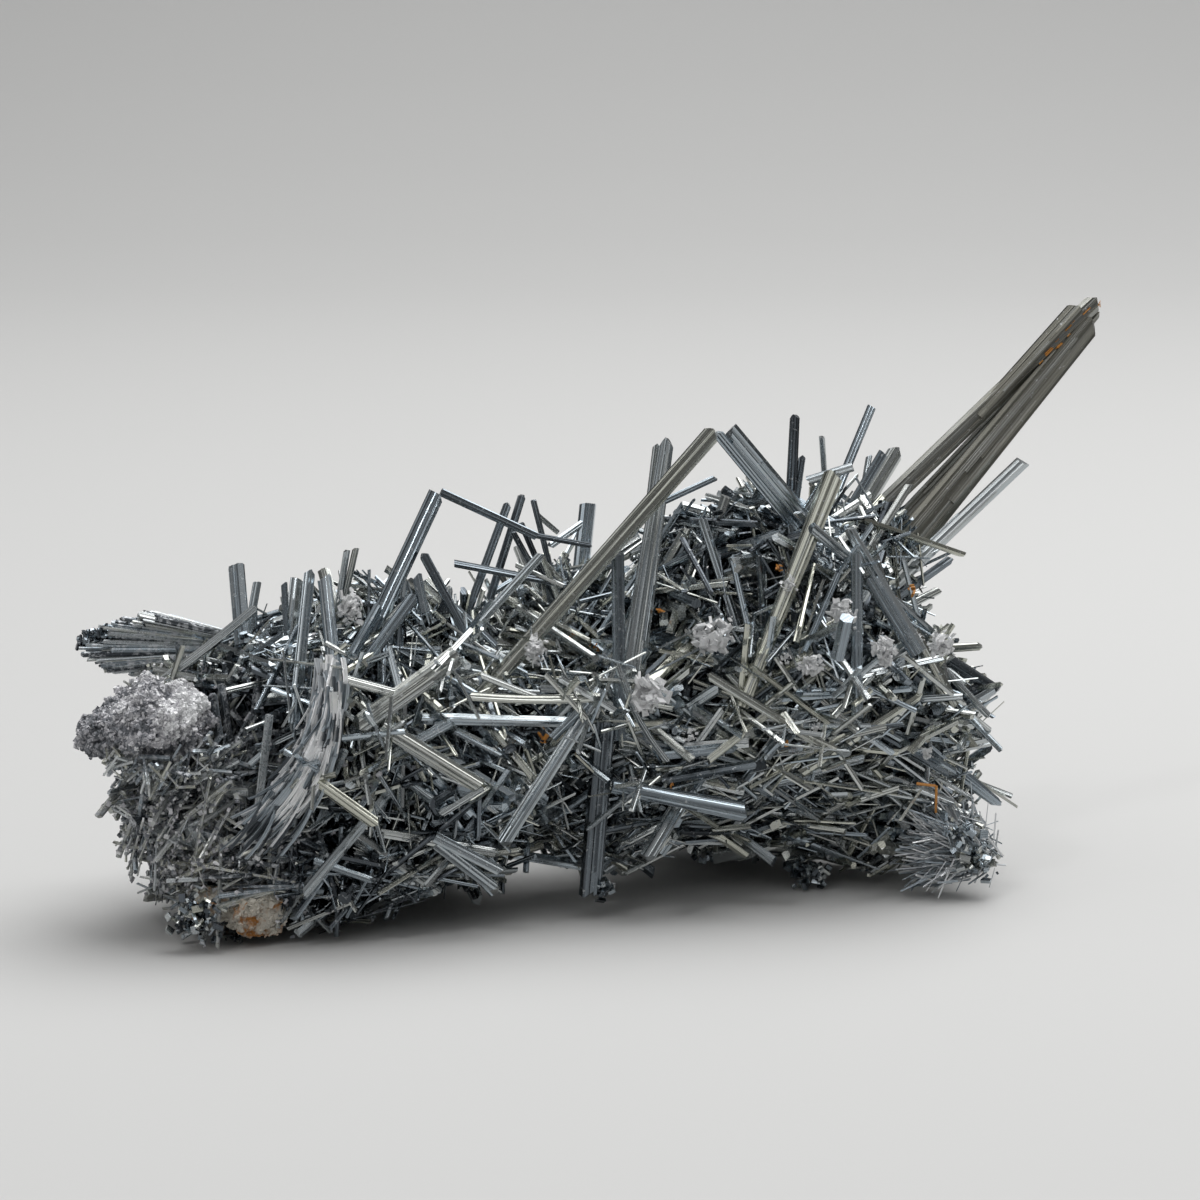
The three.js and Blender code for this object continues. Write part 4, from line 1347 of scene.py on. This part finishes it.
class STIBNITE_OT_fan(bpy.types.Operator):
    """Builds the flat fan of thin needles at the far left, with a crest of beads"""

    bl_idname = "stibnite.fan"
    bl_label = "Needle fan"

    def execute(self, context):
        rng = np.random.default_rng(29)
        low, high = corners_of(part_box("needle_fan"))
        root = spot_in("needle_fan", (1.0, 0.5, 0.47))
        reach = high[0] - low[0]
        count = context.scene.stibnite_needles.fan
        side = np.sort(rng.uniform(-1, 1, count))
        rise = np.radians(0.5 + np.where(side > 0, 15, 14) * side)
        length = reach * (1.0 - 0.4 * abs(side) ** 1.5) * rng.uniform(0.72, 1.0, count)
        depth = rng.uniform(-0.5, 0.5, count) * (high[1] - low[1]) * 0.8
        way = np.stack([-np.cos(rise), depth / reach, np.sin(rise)], axis=1)
        start = rng.uniform(0.0, 0.35, count)[:, None] * length[:, None]
        shift = np.stack([np.zeros(count), depth * 0.4, side * 0.9 * MM], axis=1)
        foot = root + shift + way * start
        tip = root + shift + way * length[:, None]
        width = rng.uniform(0.3, 0.7, count) * MM
        batch = Batch()
        shapes = needle_shapes(NEEDLE_HALF, ["slant", "flat", "point"], 9, 30)
        add_needles(batch, shapes, foot, tip, width, 0.8, rng.uniform(0.0, 0.7, count), rng)
        batch.build("needle_fan_spread", dusted_material(), "dark_needles", ["needle_fan"])
        self.add_crest(context.scene.stibnite_needles.crest, rng)
        return {"FINISHED"}

    def add_crest(self, count, rng):
        """Tiny stubby crystals along the fan's upper edge near its tips."""
        batch = Batch()
        share = rng.random(count)
        foot = spot_in("needle_fan", (0.02, 0.5, 0.55)) * (1 - share[:, None])
        foot = foot + spot_in("needle_fan", (0.42, 0.5, 0.82)) * share[:, None]
        foot = foot + rng.normal(0, 1, (count, 3)) * np.array((0.3, 0.35, 0.25)) * MM
        way = unit(rng.normal(0, 0.6, (count, 3)) + UP)
        tip = foot + way * rng.uniform(0.4, 1.1, count)[:, None] * MM
        width = rng.uniform(0.25, 0.55, count) * MM
        shapes = needle_shapes(CHIP_HALF, ["point", "slant"], 4, 31)
        add_needles(batch, shapes, foot, tip, width, 0.8, rng.uniform(-0.1, 0.4, count), rng)
        batch.build("needle_fan_crest", needle_material(), "dark_needles")


class STIBNITE_OT_silky_bundle(bpy.types.Operator):
    """Builds the bent bundle of silky fibres at the front of the left lobe"""

    bl_idname = "stibnite.silky_bundle"
    bl_label = "Silky bundle"

    def execute(self, context):
        rng = np.random.default_rng(37)
        node = "silky_blade_bundle"
        top, bend, toe = (
            spot_in(node, shares)
            for shares in ((0.97, 0.95, 1.02), (0.80, 0.42, 0.46), (0.28, 0.46, 0.0))
        )
        chord = toe - top
        share = ((bend - top) @ chord) / (chord @ chord)
        sag = bend - top - chord * share
        bow = float(np.linalg.norm(sag) / np.linalg.norm(chord))
        sideways = unit(np.cross(chord, FRONT))
        batch = Batch()
        settings = context.scene.stibnite_needles
        kinds = ((0.9, (0.6, 1.2), settings.silky_blades), (1.1, (0.2, 0.6), settings.silky_fibres))
        for spread, slim, count in kinds:
            for _ in range(count):
                outline = outline_of(NEEDLE_HALF, 1, 0.1, rng)
                start, reach = rng.uniform(-0.05, 0.8), rng.uniform(0.15, 0.45)
                shape = crystal_shape(outline, TIP_CUTS["slant"], 5, bow * reach * rng.uniform(0.6, 1.6))
                side = rng.uniform(-0.5, 0.5) * spread
                stop = start + reach
                ends = []
                for share, grown in ((start, 2.2 + start), (stop, 2.4 + 1.3 * stop)):
                    bent = sag * math.sin(math.pi * min(share, 1.0))
                    ends.append(top + chord * share + bent + sideways * side * grown * MM)
                foot = ends[0] + rng.normal(0, 0.3, 3) * MM
                tip = ends[1] + rng.normal(0, 0.55, 3) * MM
                width = rng.uniform(*slim) * MM
                across = unit(sag - unit(tip - foot) * (sag @ unit(tip - foot)))
                # Painted highlight: fibres about the middle of the bundle are often painted much paler,
                # standing for the light caught at its bend.
                painted_glint = rng.random() < 0.6 - abs(start + reach / 2 - 0.45)
                tone = rng.uniform(-0.1, 0.5) + 0.7 * painted_glint
                batch.add(shape, foot, tip, across, width * 0.6, width, 0.9, tone, rng)
        batch.build("silky_fibres", silky_material(), "pale_blades", [node])
        return {"FINISHED"}


def silky_material():
    return shared_material("stibnite_fibre_silky", silky_fibres)


def silky_fibres():
    """Stibnite drawn out in parallel fibres: a silky bluish-white sheen across the lines, painted into the
    base colour as pale tones.
    """
    colours = bpy.context.scene.stibnite_colours
    material, shader, _ = new_material("stibnite_fibre_silky", Metallic=0.6)
    lines = striae(material, 0.12, 5.0)
    tone = add_node(material, "ShaderNodeAttribute", {"attribute_name": TONE}).outputs["Fac"]
    mixed = add_node(material, "ShaderNodeMath", {"operation": "MULTIPLY_ADD"}, i0=lines, i1=0.5, i2=tone)
    # Painted sheen: the pale dust and frost stops paint the bluish-white sheen, and the painted-highlight
    # fibres reach the palest.
    base = ramp(
        material,
        mixed.outputs[0],
        [(0.25, colours.tarnish), (0.45, colours.steel), (0.7, colours.dust), (0.95, colours.frost_and_sheen)],
    )
    link(material, base, shader, "Base Color")
    rough = add_node(material, "ShaderNodeMapRange", Value=lines, i1=0.2, i2=0.8, i3=0.22, i4=0.42)
    link(material, rough.outputs[0], shader, "Roughness")
    link(material, bump(material, lines, 0.05), shader, "Normal")
    return material


# ---------------------------------------------------------------- crusts and clear crystals

# Clear clusters with no node of their own: middle in shares of the whole box, and size in mm.
CLEAR_SPOTS = [
    ((0.678, 0.363, 0.576), 1.6),
    ((0.584, 0.281, 0.321), 1.5),
    ((0.532, 0.260, 0.240), 1.5),
    ((0.703, 0.322, 0.331), 1.2),
    ((0.812, 0.425, 0.261), 1.3),
    ((0.803, 0.425, 0.470), 1.1),
    ((0.674, 0.343, 0.446), 1.2),
    ((0.508, 0.281, 0.059), 1.0),
]


def block_shapes(seed):
    """Stubby blocks, cut a little askew at both ends."""
    rng = np.random.default_rng(seed)
    shapes = []
    for i in range(8):
        section = [(x * rng.uniform(0.7, 1), y * rng.uniform(0.7, 1)) for x, y in CHIP_HALF]
        tip_cuts = [(rng.uniform(5, 30), 360 * rng.random())]
        foot_cuts = [(rng.uniform(5, 30), 45 * i)]
        shapes.append(crystal_shape(outline_of(section), tip_cuts, foot_cuts=foot_cuts))
    return shapes


def add_blocks(batch, shapes, middles, sizes, tones, rng, flat=0.7):
    """Blocks turned at random about these middles, as thick as flat times their width."""
    count = len(middles)
    ways = unit(rng.normal(size=(count, 3)))
    half = ways * (sizes * rng.uniform(0.8, 1.5, count))[:, None] / 2
    add_needles(batch, shapes, middles - half, middles + half, sizes, flat, tones, rng)


def add_grains(batch, shapes, middle, reach, count, sizes, tones, rng, flat=0.7):
    """Grains heaped about a middle, thinning out to its reach. Sizes are a range in mm."""
    places = middle + np.clip(rng.normal(0, 0.45, (count, 3)), -1, 1) * reach
    sizes = rng.uniform(*sizes, count) * MM
    add_blocks(batch, shapes, places, sizes, rng.uniform(*tones, count), rng, flat)


class STIBNITE_OT_clear_crystals(bpy.types.Operator):
    """Builds the clusters of small clear crystals"""

    bl_idname = "stibnite.clear_crystals"
    bl_label = "Clear crystals"

    def execute(self, context):
        rng = np.random.default_rng(41)
        shapes = block_shapes(42)
        settings = context.scene.stibnite_crusts
        material = shared_material("calcite_clear_frosted", frosted_crystal)
        for name in sorted(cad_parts):
            if name.startswith("clear_"):
                low, high = corners_of(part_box(name))
                batch = Batch()
                self.add_cluster(batch, shapes, (low + high) / 2, (high - low) / 2, settings.cluster, rng)
                batch.build(f"{name}_grown", material, "clear_crystal", [name])
        batch = Batch()
        for shares, size in CLEAR_SPOTS:
            reach = np.full(3, size / 2 * MM)
            self.add_cluster(batch, shapes, spot(shares), reach, settings.small_cluster, rng)
        batch.build("clear_crystal_grains", material, "clear_crystal")
        return {"FINISHED"}

    def add_cluster(self, batch, shapes, middle, reach, count, rng):
        """A few large plates in the middle, and smaller ones towards the edge."""
        offsets = np.clip(rng.normal(0, 0.45, (count, 3)), -0.95, 0.95)
        places = middle + offsets * reach
        sizes = reach.mean() * rng.uniform(0.15, 0.9, count) * (1.1 - 0.5 * np.linalg.norm(offsets, axis=1))
        add_blocks(batch, shapes, places, sizes, rng.random(count), rng, 0.4)


# Flat sides of the crust and the rock: the way each faces, and how far it is from the middle in mm.
CRUST_SIDES = [
    ((-0.62, -0.1, 0.78), 3.4),
    ((-0.7, -0.7, 0.1), 4.6),
    ((0.2, -0.3, 0.93), 4.3),
    ((-0.35, -0.9, 0.3), 4.7),
    ((0.85, -0.5, 0.1), 5.7),
    ((-0.45, -0.6, -0.65), 4.4),
    ((0.4, -0.75, -0.5), 4.6),
    ((-0.95, 0.1, -0.2), 6.9),
    ((-0.4, 0.75, 0.5), 4.7),
    ((0.5, 0.6, 0.6), 4.6),
    ((0.1, 0.5, -0.85), 4.5),
]
ROCK_SIDES = [
    ((-0.3, -0.9, 0.3), 1.9),
    ((0.5, -0.8, -0.2), 2.1),
    ((-0.8, -0.3, -0.5), 3.4),
    ((0.9, -0.1, 0.4), 3.9),
    ((0.1, -0.3, 0.95), 1.9),
    ((-0.5, -0.2, 0.85), 2.2),
]


def wave_of(place, grain):
    """A wave between -1 and 1 at each place, with humps about this many mm apart."""
    x, y, z = place / (grain * MM)
    return math.sin(x + 1.7 * math.sin(y)) * math.sin(y + 1.3 * math.sin(z)) * math.sin(z + math.sin(x))


def rough_copy(node, name, material, sides, height):
    """The node's solid with flat sides, and a finer surface that rises and falls by height in mm."""
    middle = Vector(spot_in(node, (0.5, 0.5, 0.5)))
    bm = bmesh.new()
    bm.from_mesh(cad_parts[node].data)
    bmesh.ops.remove_doubles(bm, verts=bm.verts, dist=0.001 * MM)
    bmesh.ops.subdivide_edges(bm, edges=bm.edges, cuts=5, use_grid_fill=True)
    bmesh.ops.triangulate(bm, faces=bm.faces)
    for _ in range(2):
        bmesh.ops.smooth_vert(
            bm, verts=bm.verts, factor=0.5, use_axis_x=True, use_axis_y=True, use_axis_z=True
        )
    for facing, distance in sides:
        facing = Vector(facing).normalized()
        for vertex in bm.verts:
            beyond = (vertex.co - middle).dot(facing) - distance * MM
            vertex.co -= facing * max(beyond, 0)
    bm.normal_update()
    for vertex in bm.verts:
        rise = wave_of(vertex.co, 0.5) + 0.6 * wave_of(vertex.co + middle, 0.2) - 0.5
        vertex.co += vertex.normal * rise * height * MM
    bmesh.ops.recalc_face_normals(bm, faces=bm.faces)
    mesh = bpy.data.meshes.new(name)
    bm.to_mesh(mesh)
    bm.free()
    tone = mesh.attributes.new(TONE, "FLOAT", "POINT")
    tone.data.foreach_set("value", crust_tones(points_of(mesh), 0.25))
    return finished(name, mesh, material, [node])


# The palest patch of the crust: middle and reach in shares of the whole box.
PALE_PATCH = ((0.126, 0.096, 0.425), (0.03, 0.1, 0.06))


def crust_tones(points, tone):
    """The tone at each point of the crust: paler on top, and palest at one patch."""
    low, high = corners_of(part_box("sugary_crust"))
    height = (points[:, 2] - low[2]) / (high[2] - low[2])
    return tone - 0.1 + 0.3 * height + 0.6 * nearness(points, *PALE_PATCH)


def points_of(mesh):
    """A mesh's corners, one row each."""
    places = np.empty(len(mesh.vertices) * 3)
    mesh.vertices.foreach_get("co", places)
    return places.reshape(-1, 3)


def grains_over(piece, name, slot, count, sizes, seed, tones=(0, 1)):
    """Small blocks all over a piece's surface. Sizes are a range in mm."""
    rng = np.random.default_rng(seed)
    mesh = piece.data
    mesh.calc_loop_triangles()
    corners = points_of(mesh)[np.array([triangle.vertices for triangle in mesh.loop_triangles])]
    areas = np.array([triangle.area for triangle in mesh.loop_triangles])
    chosen = rng.choice(len(areas), count, p=areas / areas.sum())
    mix = rng.dirichlet((1, 1, 1), count)
    places = np.einsum("nc,ncj->nj", mix, corners[chosen])
    batch = Batch()
    sizes = rng.uniform(*sizes, count) ** 1.3 * MM
    tone = rng.uniform(*tones, count)
    add_blocks(batch, block_shapes(seed), places, sizes, crust_tones(places, tone), rng)
    return batch.build(name, mesh.materials[0], slot)


# Heaps of dark glassy grains: middle and reach in shares of the whole box, and their number.
DARK_HEAPS = [
    ((0.127, 0.02, 0.066), (0.026, 0.016, 0.042), 110),
    ((0.860, 0.43, 0.075), (0.022, 0.04, 0.04), 130),
    ((0.845, 0.42, 0.125), (0.02, 0.04, 0.03), 50),
    ((0.165, 0.105, 0.022), (0.028, 0.03, 0.018), 60),
    ((0.498, 0.275, 0.055), (0.011, 0.02, 0.022), 44),
    ((0.702, 0.50, 0.03), (0.020, 0.03, 0.024), 80),
    ((0.608, 0.60, 0.05), (0.020, 0.03, 0.020), 50),
]

# Orange spots: middle in shares of the whole box, and size in mm.
ORANGE_SPOTS = [
    ((0.447, 0.297, 0.313), 0.5),
    ((0.668, 0.426, 0.593), 0.5),
    ((0.496, 0.480, 0.440), 0.35),
    ((0.468, 0.465, 0.458), 0.35),
    ((0.556, 0.405, 0.518), 0.35),
    ((0.676, 0.320, 0.301), 0.35),
    ((0.567, 0.285, 0.234), 0.3),
    ((0.800, 0.550, 0.530), 0.6),
]


class STIBNITE_OT_crusts(bpy.types.Operator):
    """Builds the sugary crust, the matrix patch and the orange sliver"""

    bl_idname = "stibnite.crusts"
    bl_label = "Crusts and matrix"

    def execute(self, context):
        settings = context.scene.stibnite_crusts
        crust = shared_material("quartz_druse_sugary", sugary_crust)
        rock = shared_material("matrix_rock_rusty", matrix_rock)
        base = rough_copy("sugary_crust", "sugary_crust_base", crust, CRUST_SIDES, 0.85)
        grains_over(base, "sugary_crust_grains", "sugary_crust", settings.grains, (0.2, 0.55), 51, (0.0, 0.5))
        base = rough_copy("matrix_patch", "matrix_rock", rock, ROCK_SIDES, 0.3)
        grains_over(base, "matrix_grit", "rusty_matrix", settings.grit, (0.2, 0.6), 52)
        rng = np.random.default_rng(53)
        self.add_dark(rng)
        self.add_tuft(context.scene.stibnite_needles.tuft, rng)
        self.add_whiskers(settings.whiskers, rng)
        self.add_orange(rng)
        return {"FINISHED"}

    def add_whiskers(self, count, rng):
        """Needles that lie over the lower edge of the crust, so that it merges into the mat below."""
        share = rng.random(count)
        along = np.stack(
            [0.3 + 0.68 * share, 0.12 + 0.25 * abs(share - 0.5), 0.32 - 0.75 * share * (1 - share)], axis=1
        )
        low, high = corners_of(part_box("sugary_crust"))
        middle = low + (high - low) * along + rng.normal(0, 0.7, (count, 3)) * MM
        half = unit(rng.normal(0, 0.8, (count, 3)) + np.array((-0.7, -0.3, -0.9)))
        half = half * rng.uniform(0.6, 1.7, count)[:, None] * MM
        width = rng.uniform(0.16, 0.5, count) * MM
        batch = Batch()
        shapes = needle_shapes(CHIP_HALF, ["slant", "flat", "point"], 6, 57)
        tones = rng.uniform(0.0, 0.7, count)
        add_needles(batch, shapes, middle - half, middle + half, width, 0.8, tones, rng)
        batch.build("crust_whiskers", dusted_material(), "matted_needles")

    def add_dark(self, rng):
        """Heaps of dark grains."""
        shapes = block_shapes(54)
        batch = Batch()
        whole = spot((1, 1, 1)) - spot((0, 0, 0))
        for middle, reach, count in DARK_HEAPS:
            add_grains(batch, shapes, spot(middle), whole * reach, count, (0.25, 0.9), (0, 0.7), rng)
        batch.build("dark_grains", needle_material(), "dark_needles")

    def add_tuft(self, count, rng):
        """A tuft of fine needles that spreads from the right hand heap of dark grains."""
        root = spot((0.856, 0.45, 0.075)) + rng.normal(0, 1, (count, 3)) * np.array((1.3, 0.8, 1.1)) * MM
        turn = np.radians(rng.normal(168, 34, count))
        way = unit(np.stack([np.cos(turn), rng.normal(-0.12, 0.22, count), np.sin(turn)], axis=1))
        tip = root + way * rng.uniform(2, 5.5, count)[:, None] * MM
        root = root + way * rng.uniform(0, 1.5, count)[:, None] * MM
        kept = (tip[:, 2] > 0.4 * MM) & (root[:, 2] > 0.4 * MM)
        width = rng.uniform(0.08, 0.24, count) * MM
        tuft = Batch()
        shapes = needle_shapes(CHIP_HALF, ["slant", "point"], 4, 55)
        # Painted sheen: the silky material paints the paler fibres bluish-white.
        tones = rng.uniform(-0.1, 0.6, count)
        add_needles(tuft, shapes, root[kept], tip[kept], width[kept], 0.8, tones[kept], rng)
        tuft.build("feathery_tuft", silky_material(), "pale_blades")

    def add_orange(self, rng):
        """The bent orange sliver."""
        node = "orange_sliver"
        oxide = shared_material("orange_oxide_waxy", orange_needle)
        places = [spot_in(node, shares) for shares in ((0.03, 0.5, 0.9), (0.9, 0.3, 0.84), (0.9, 0.6, 0.0))]
        batch = Batch()
        across = np.array((0.0, 1.0, 0.0))
        for foot, tip in zip(places, places[1:]):
            shape = large_shape(int(rng.integers(1 << 30)), "flat")
            batch.add(shape, foot, tip, across, 0.28 * MM, 0.26 * MM, 0.85, 0.5, rng)
        batch.build("orange_sliver_bent", oxide, "orange_stain", [node])
        self.add_orange_spots(oxide, rng)

    def add_orange_spots(self, oxide, rng):
        """Spots of oxide in the mass, and flecks of it near the tip of the first long blade."""
        spots = Batch()
        for shares, size in ORANGE_SPOTS:
            add_grains(spots, block_shapes(56), spot(shares), size * MM, 6, (0.2, size), (0, 1), rng, 0.5)
        prism, _ = built_crystals()["long_blade_sheaf"][0]
        foot, tip = prism["foot"], prism["tip"]
        along = unit(tip - foot)
        facing = np.cross(along, prism["across"])
        shapes = needle_shapes(CHIP_HALF, ["slant"], 3, 57)
        count = 16
        share = rng.uniform(0.68, 0.985, count)
        scale = (1 + (prism["taper"] - 1) * share) * rng.uniform(-0.42, 0.42, count)
        place = foot + (tip - foot) * share[:, None] + prism["across"] * (prism["width"] * scale)[:, None]
        side = np.where(facing @ FRONT > 0, 1, -1)
        place = place + facing * side * prism["thick"] * 0.47
        half = along * rng.uniform(0.15, 0.6, count)[:, None] * MM
        width = rng.uniform(0.1, 0.26, count) * MM
        add_needles(spots, shapes, place - half, place + half, width, 0.6, rng.random(count), rng)
        spots.build("orange_spots", oxide, "orange_stain")


# ---------------------------------------------------------------- stage

# The paper's colour far from the crystals, painted shade which meets the dim room at the horizon.
FAR_FLOOR_SHADE = (0.17, 0.17, 0.17)


def backdrop_paper(colour):
    """Matt paper with painted shade that darkens it away from the crystals, so that their upright faces
    mirror a dim room.
    """
    material, shader, _ = new_material("paper_backdrop_matt", Roughness=0.8)
    place = add_node(material, "ShaderNodeTexCoord")
    parts = add_node(material, "ShaderNodeSeparateXYZ", Vector=place.outputs["Object"])
    ahead = add_node(material, "ShaderNodeMath", {"operation": "MINIMUM"}, i0=parts.outputs["Y"], i1=0.0)
    level = add_node(material, "ShaderNodeCombineXYZ", X=parts.outputs["X"], Y=ahead.outputs[0])
    away = add_node(material, "ShaderNodeVectorMath", {"operation": "LENGTH"}, i0=level.outputs[0])
    fade = add_node(
        material,
        "ShaderNodeMapRange",
        {"interpolation_type": "SMOOTHSTEP"},
        Value=away.outputs["Value"],
        i1=0.15,
        i2=0.9,
    )
    # Painted shade: the paper's colour fades to the far floor shade away from the crystals.
    link(material, blend(material, fade.outputs[0], colour, FAR_FLOOR_SHADE), shader, "Base Color")
    return material


# Where the camera looks, in shares of the whole box.
AIM = (0.4987, 0.425, 0.5347)


class STIBNITE_OT_stage(bpy.types.Operator):
    """Adds the pale seamless floor, soft lights and the camera"""

    bl_idname = "stibnite.stage"
    bl_label = "Stage"

    def execute(self, context):
        scene = context.scene
        settings = scene.stibnite_stage
        scene.view_settings.view_transform = "Standard"
        self.add_floor(settings)
        self.add_light("overhead_softbox", (0.14, 0.16, 0.56), (0.0, 0.02, 0.0), 0.66, settings.overhead)
        self.add_light("front_fill", (-0.35, -0.7, 0.55), (0.0, 0.0, 0.02), 0.5, 0.5)
        self.add_light("window_glint", (-0.22, -0.3, 0.5), (0.0, 0.0, 0.02), 0.05, 0.25)
        self.add_world(scene, settings)
        self.add_camera(scene, settings)
        return {"FINISHED"}

    def add_floor(self, settings):
        """A floor that curves up behind into a backdrop, as one swept strip."""
        front, back, bend, height, half_width = -2.6, 1.05, 0.6, 1.3, 2.6
        bm = bmesh.new()
        profile = [bm.verts.new((0, front, 0)), bm.verts.new((0, back - bend, 0))]
        turned = bmesh.ops.spin(
            bm,
            geom=[profile[-1]],
            cent=(0, back - bend, bend),
            axis=(1, 0, 0),
            angle=math.radians(90),
            steps=16,
        )
        last = [part for part in turned["geom_last"] if isinstance(part, bmesh.types.BMVert)][0]
        top = bm.verts.new((0, back, height))
        bm.edges.new(profile)
        bm.edges.new((last, top))
        bmesh.ops.translate(bm, verts=bm.verts, vec=(-half_width, 0, 0))
        swept = bmesh.ops.extrude_edge_only(bm, edges=bm.edges)["geom"]
        moved = [part for part in swept if isinstance(part, bmesh.types.BMVert)]
        bmesh.ops.translate(bm, verts=moved, vec=(2 * half_width, 0, 0))
        bmesh.ops.recalc_face_normals(bm, faces=bm.faces)
        mesh = bpy.data.meshes.new("floor")
        bm.to_mesh(mesh)
        bm.free()
        mesh.shade_smooth()
        mesh.materials.append(backdrop_paper(settings.floor))
        floor = bpy.data.objects.new("floor", mesh)
        bpy.context.scene.collection.objects.link(floor)

    def add_light(self, name, place, target, size, power):
        """A square lamp this many metres across, turned to its target. Power is in watts."""
        data = bpy.data.lights.new(name, "AREA")
        data.energy = power
        data.size = size
        light = bpy.data.objects.new(name, data)
        bpy.context.scene.collection.objects.link(light)
        light.location = place
        light.rotation_euler = (Vector(place) - Vector(target)).to_track_quat("Z", "Y").to_euler()

    def add_world(self, scene, settings):
        """Room light: dim near the height of the eye, so that prism faces darken, and bright overhead."""
        world = bpy.data.worlds.new("room")
        world.use_nodes = True
        way = add_node(world, "ShaderNodeTexCoord")
        parts = add_node(world, "ShaderNodeSeparateXYZ", Vector=way.outputs["Generated"])
        stops = [(0.0, (0.16,) * 3), (0.4, (0.34,) * 3), (0.9, (1.0,) * 3)]
        light = ramp(world, parts.outputs["Z"], stops)
        background = world.node_tree.nodes["Background"]
        world.node_tree.links.new(light, background.inputs["Color"])
        background.inputs["Strength"].default_value = settings.world
        scene.world = world

    def add_camera(self, scene, settings):
        """A long lens at the front, a little above the horizon."""
        target = Vector(spot(AIM))
        elevation = settings.elevation
        back = Vector((0, -math.cos(elevation), math.sin(elevation)))
        data = bpy.data.cameras.new("camera")
        data.lens = settings.lens
        data.sensor_width = 36
        data.clip_start, data.clip_end = 0.01, 10
        camera = bpy.data.objects.new("camera", data)
        scene.collection.objects.link(camera)
        camera.location = target + back * settings.distance
        camera.rotation_euler = back.to_track_quat("Z", "Y").to_euler()
        scene.camera = camera


# ---------------------------------------------------------------- the add-on

STEPS = [
    STIBNITE_OT_prisms,
    STIBNITE_OT_small_prisms,
    STIBNITE_OT_needles,
    STIBNITE_OT_fan,
    STIBNITE_OT_silky_bundle,
    STIBNITE_OT_clear_crystals,
    STIBNITE_OT_crusts,
    STIBNITE_OT_stage,
]


class STIBNITE_PT_panel(bpy.types.Panel):
    """Lists the steps that build the spray"""

    bl_idname = "STIBNITE_PT_panel"
    bl_label = "Stibnite spray"
    bl_space_type = "VIEW_3D"
    bl_region_type = "UI"
    bl_category = "Stibnite"

    def draw(self, context):
        for group in SETTINGS:
            settings = getattr(context.scene, group)
            box = self.layout.box()
            for name in settings.__annotations__:
                box.prop(settings, name)
        for step in STEPS:
            self.layout.operator(step.bl_idname)


def register():
    for kind in (*SETTINGS.values(), *STEPS, STIBNITE_PT_panel):
        bpy.utils.register_class(kind)
    for name, group in SETTINGS.items():
        setattr(bpy.types.Scene, name, bpy.props.PointerProperty(type=group))


def unregister():
    for name in SETTINGS:
        delattr(bpy.types.Scene, name)
    for kind in (STIBNITE_PT_panel, *STEPS, *SETTINGS.values()):
        bpy.utils.unregister_class(kind)


def main():
    register()
    for step in STEPS:
        category, name = step.bl_idname.split(".")
        getattr(getattr(bpy.ops, category), name)()


if __name__ == "__main__":
    main()
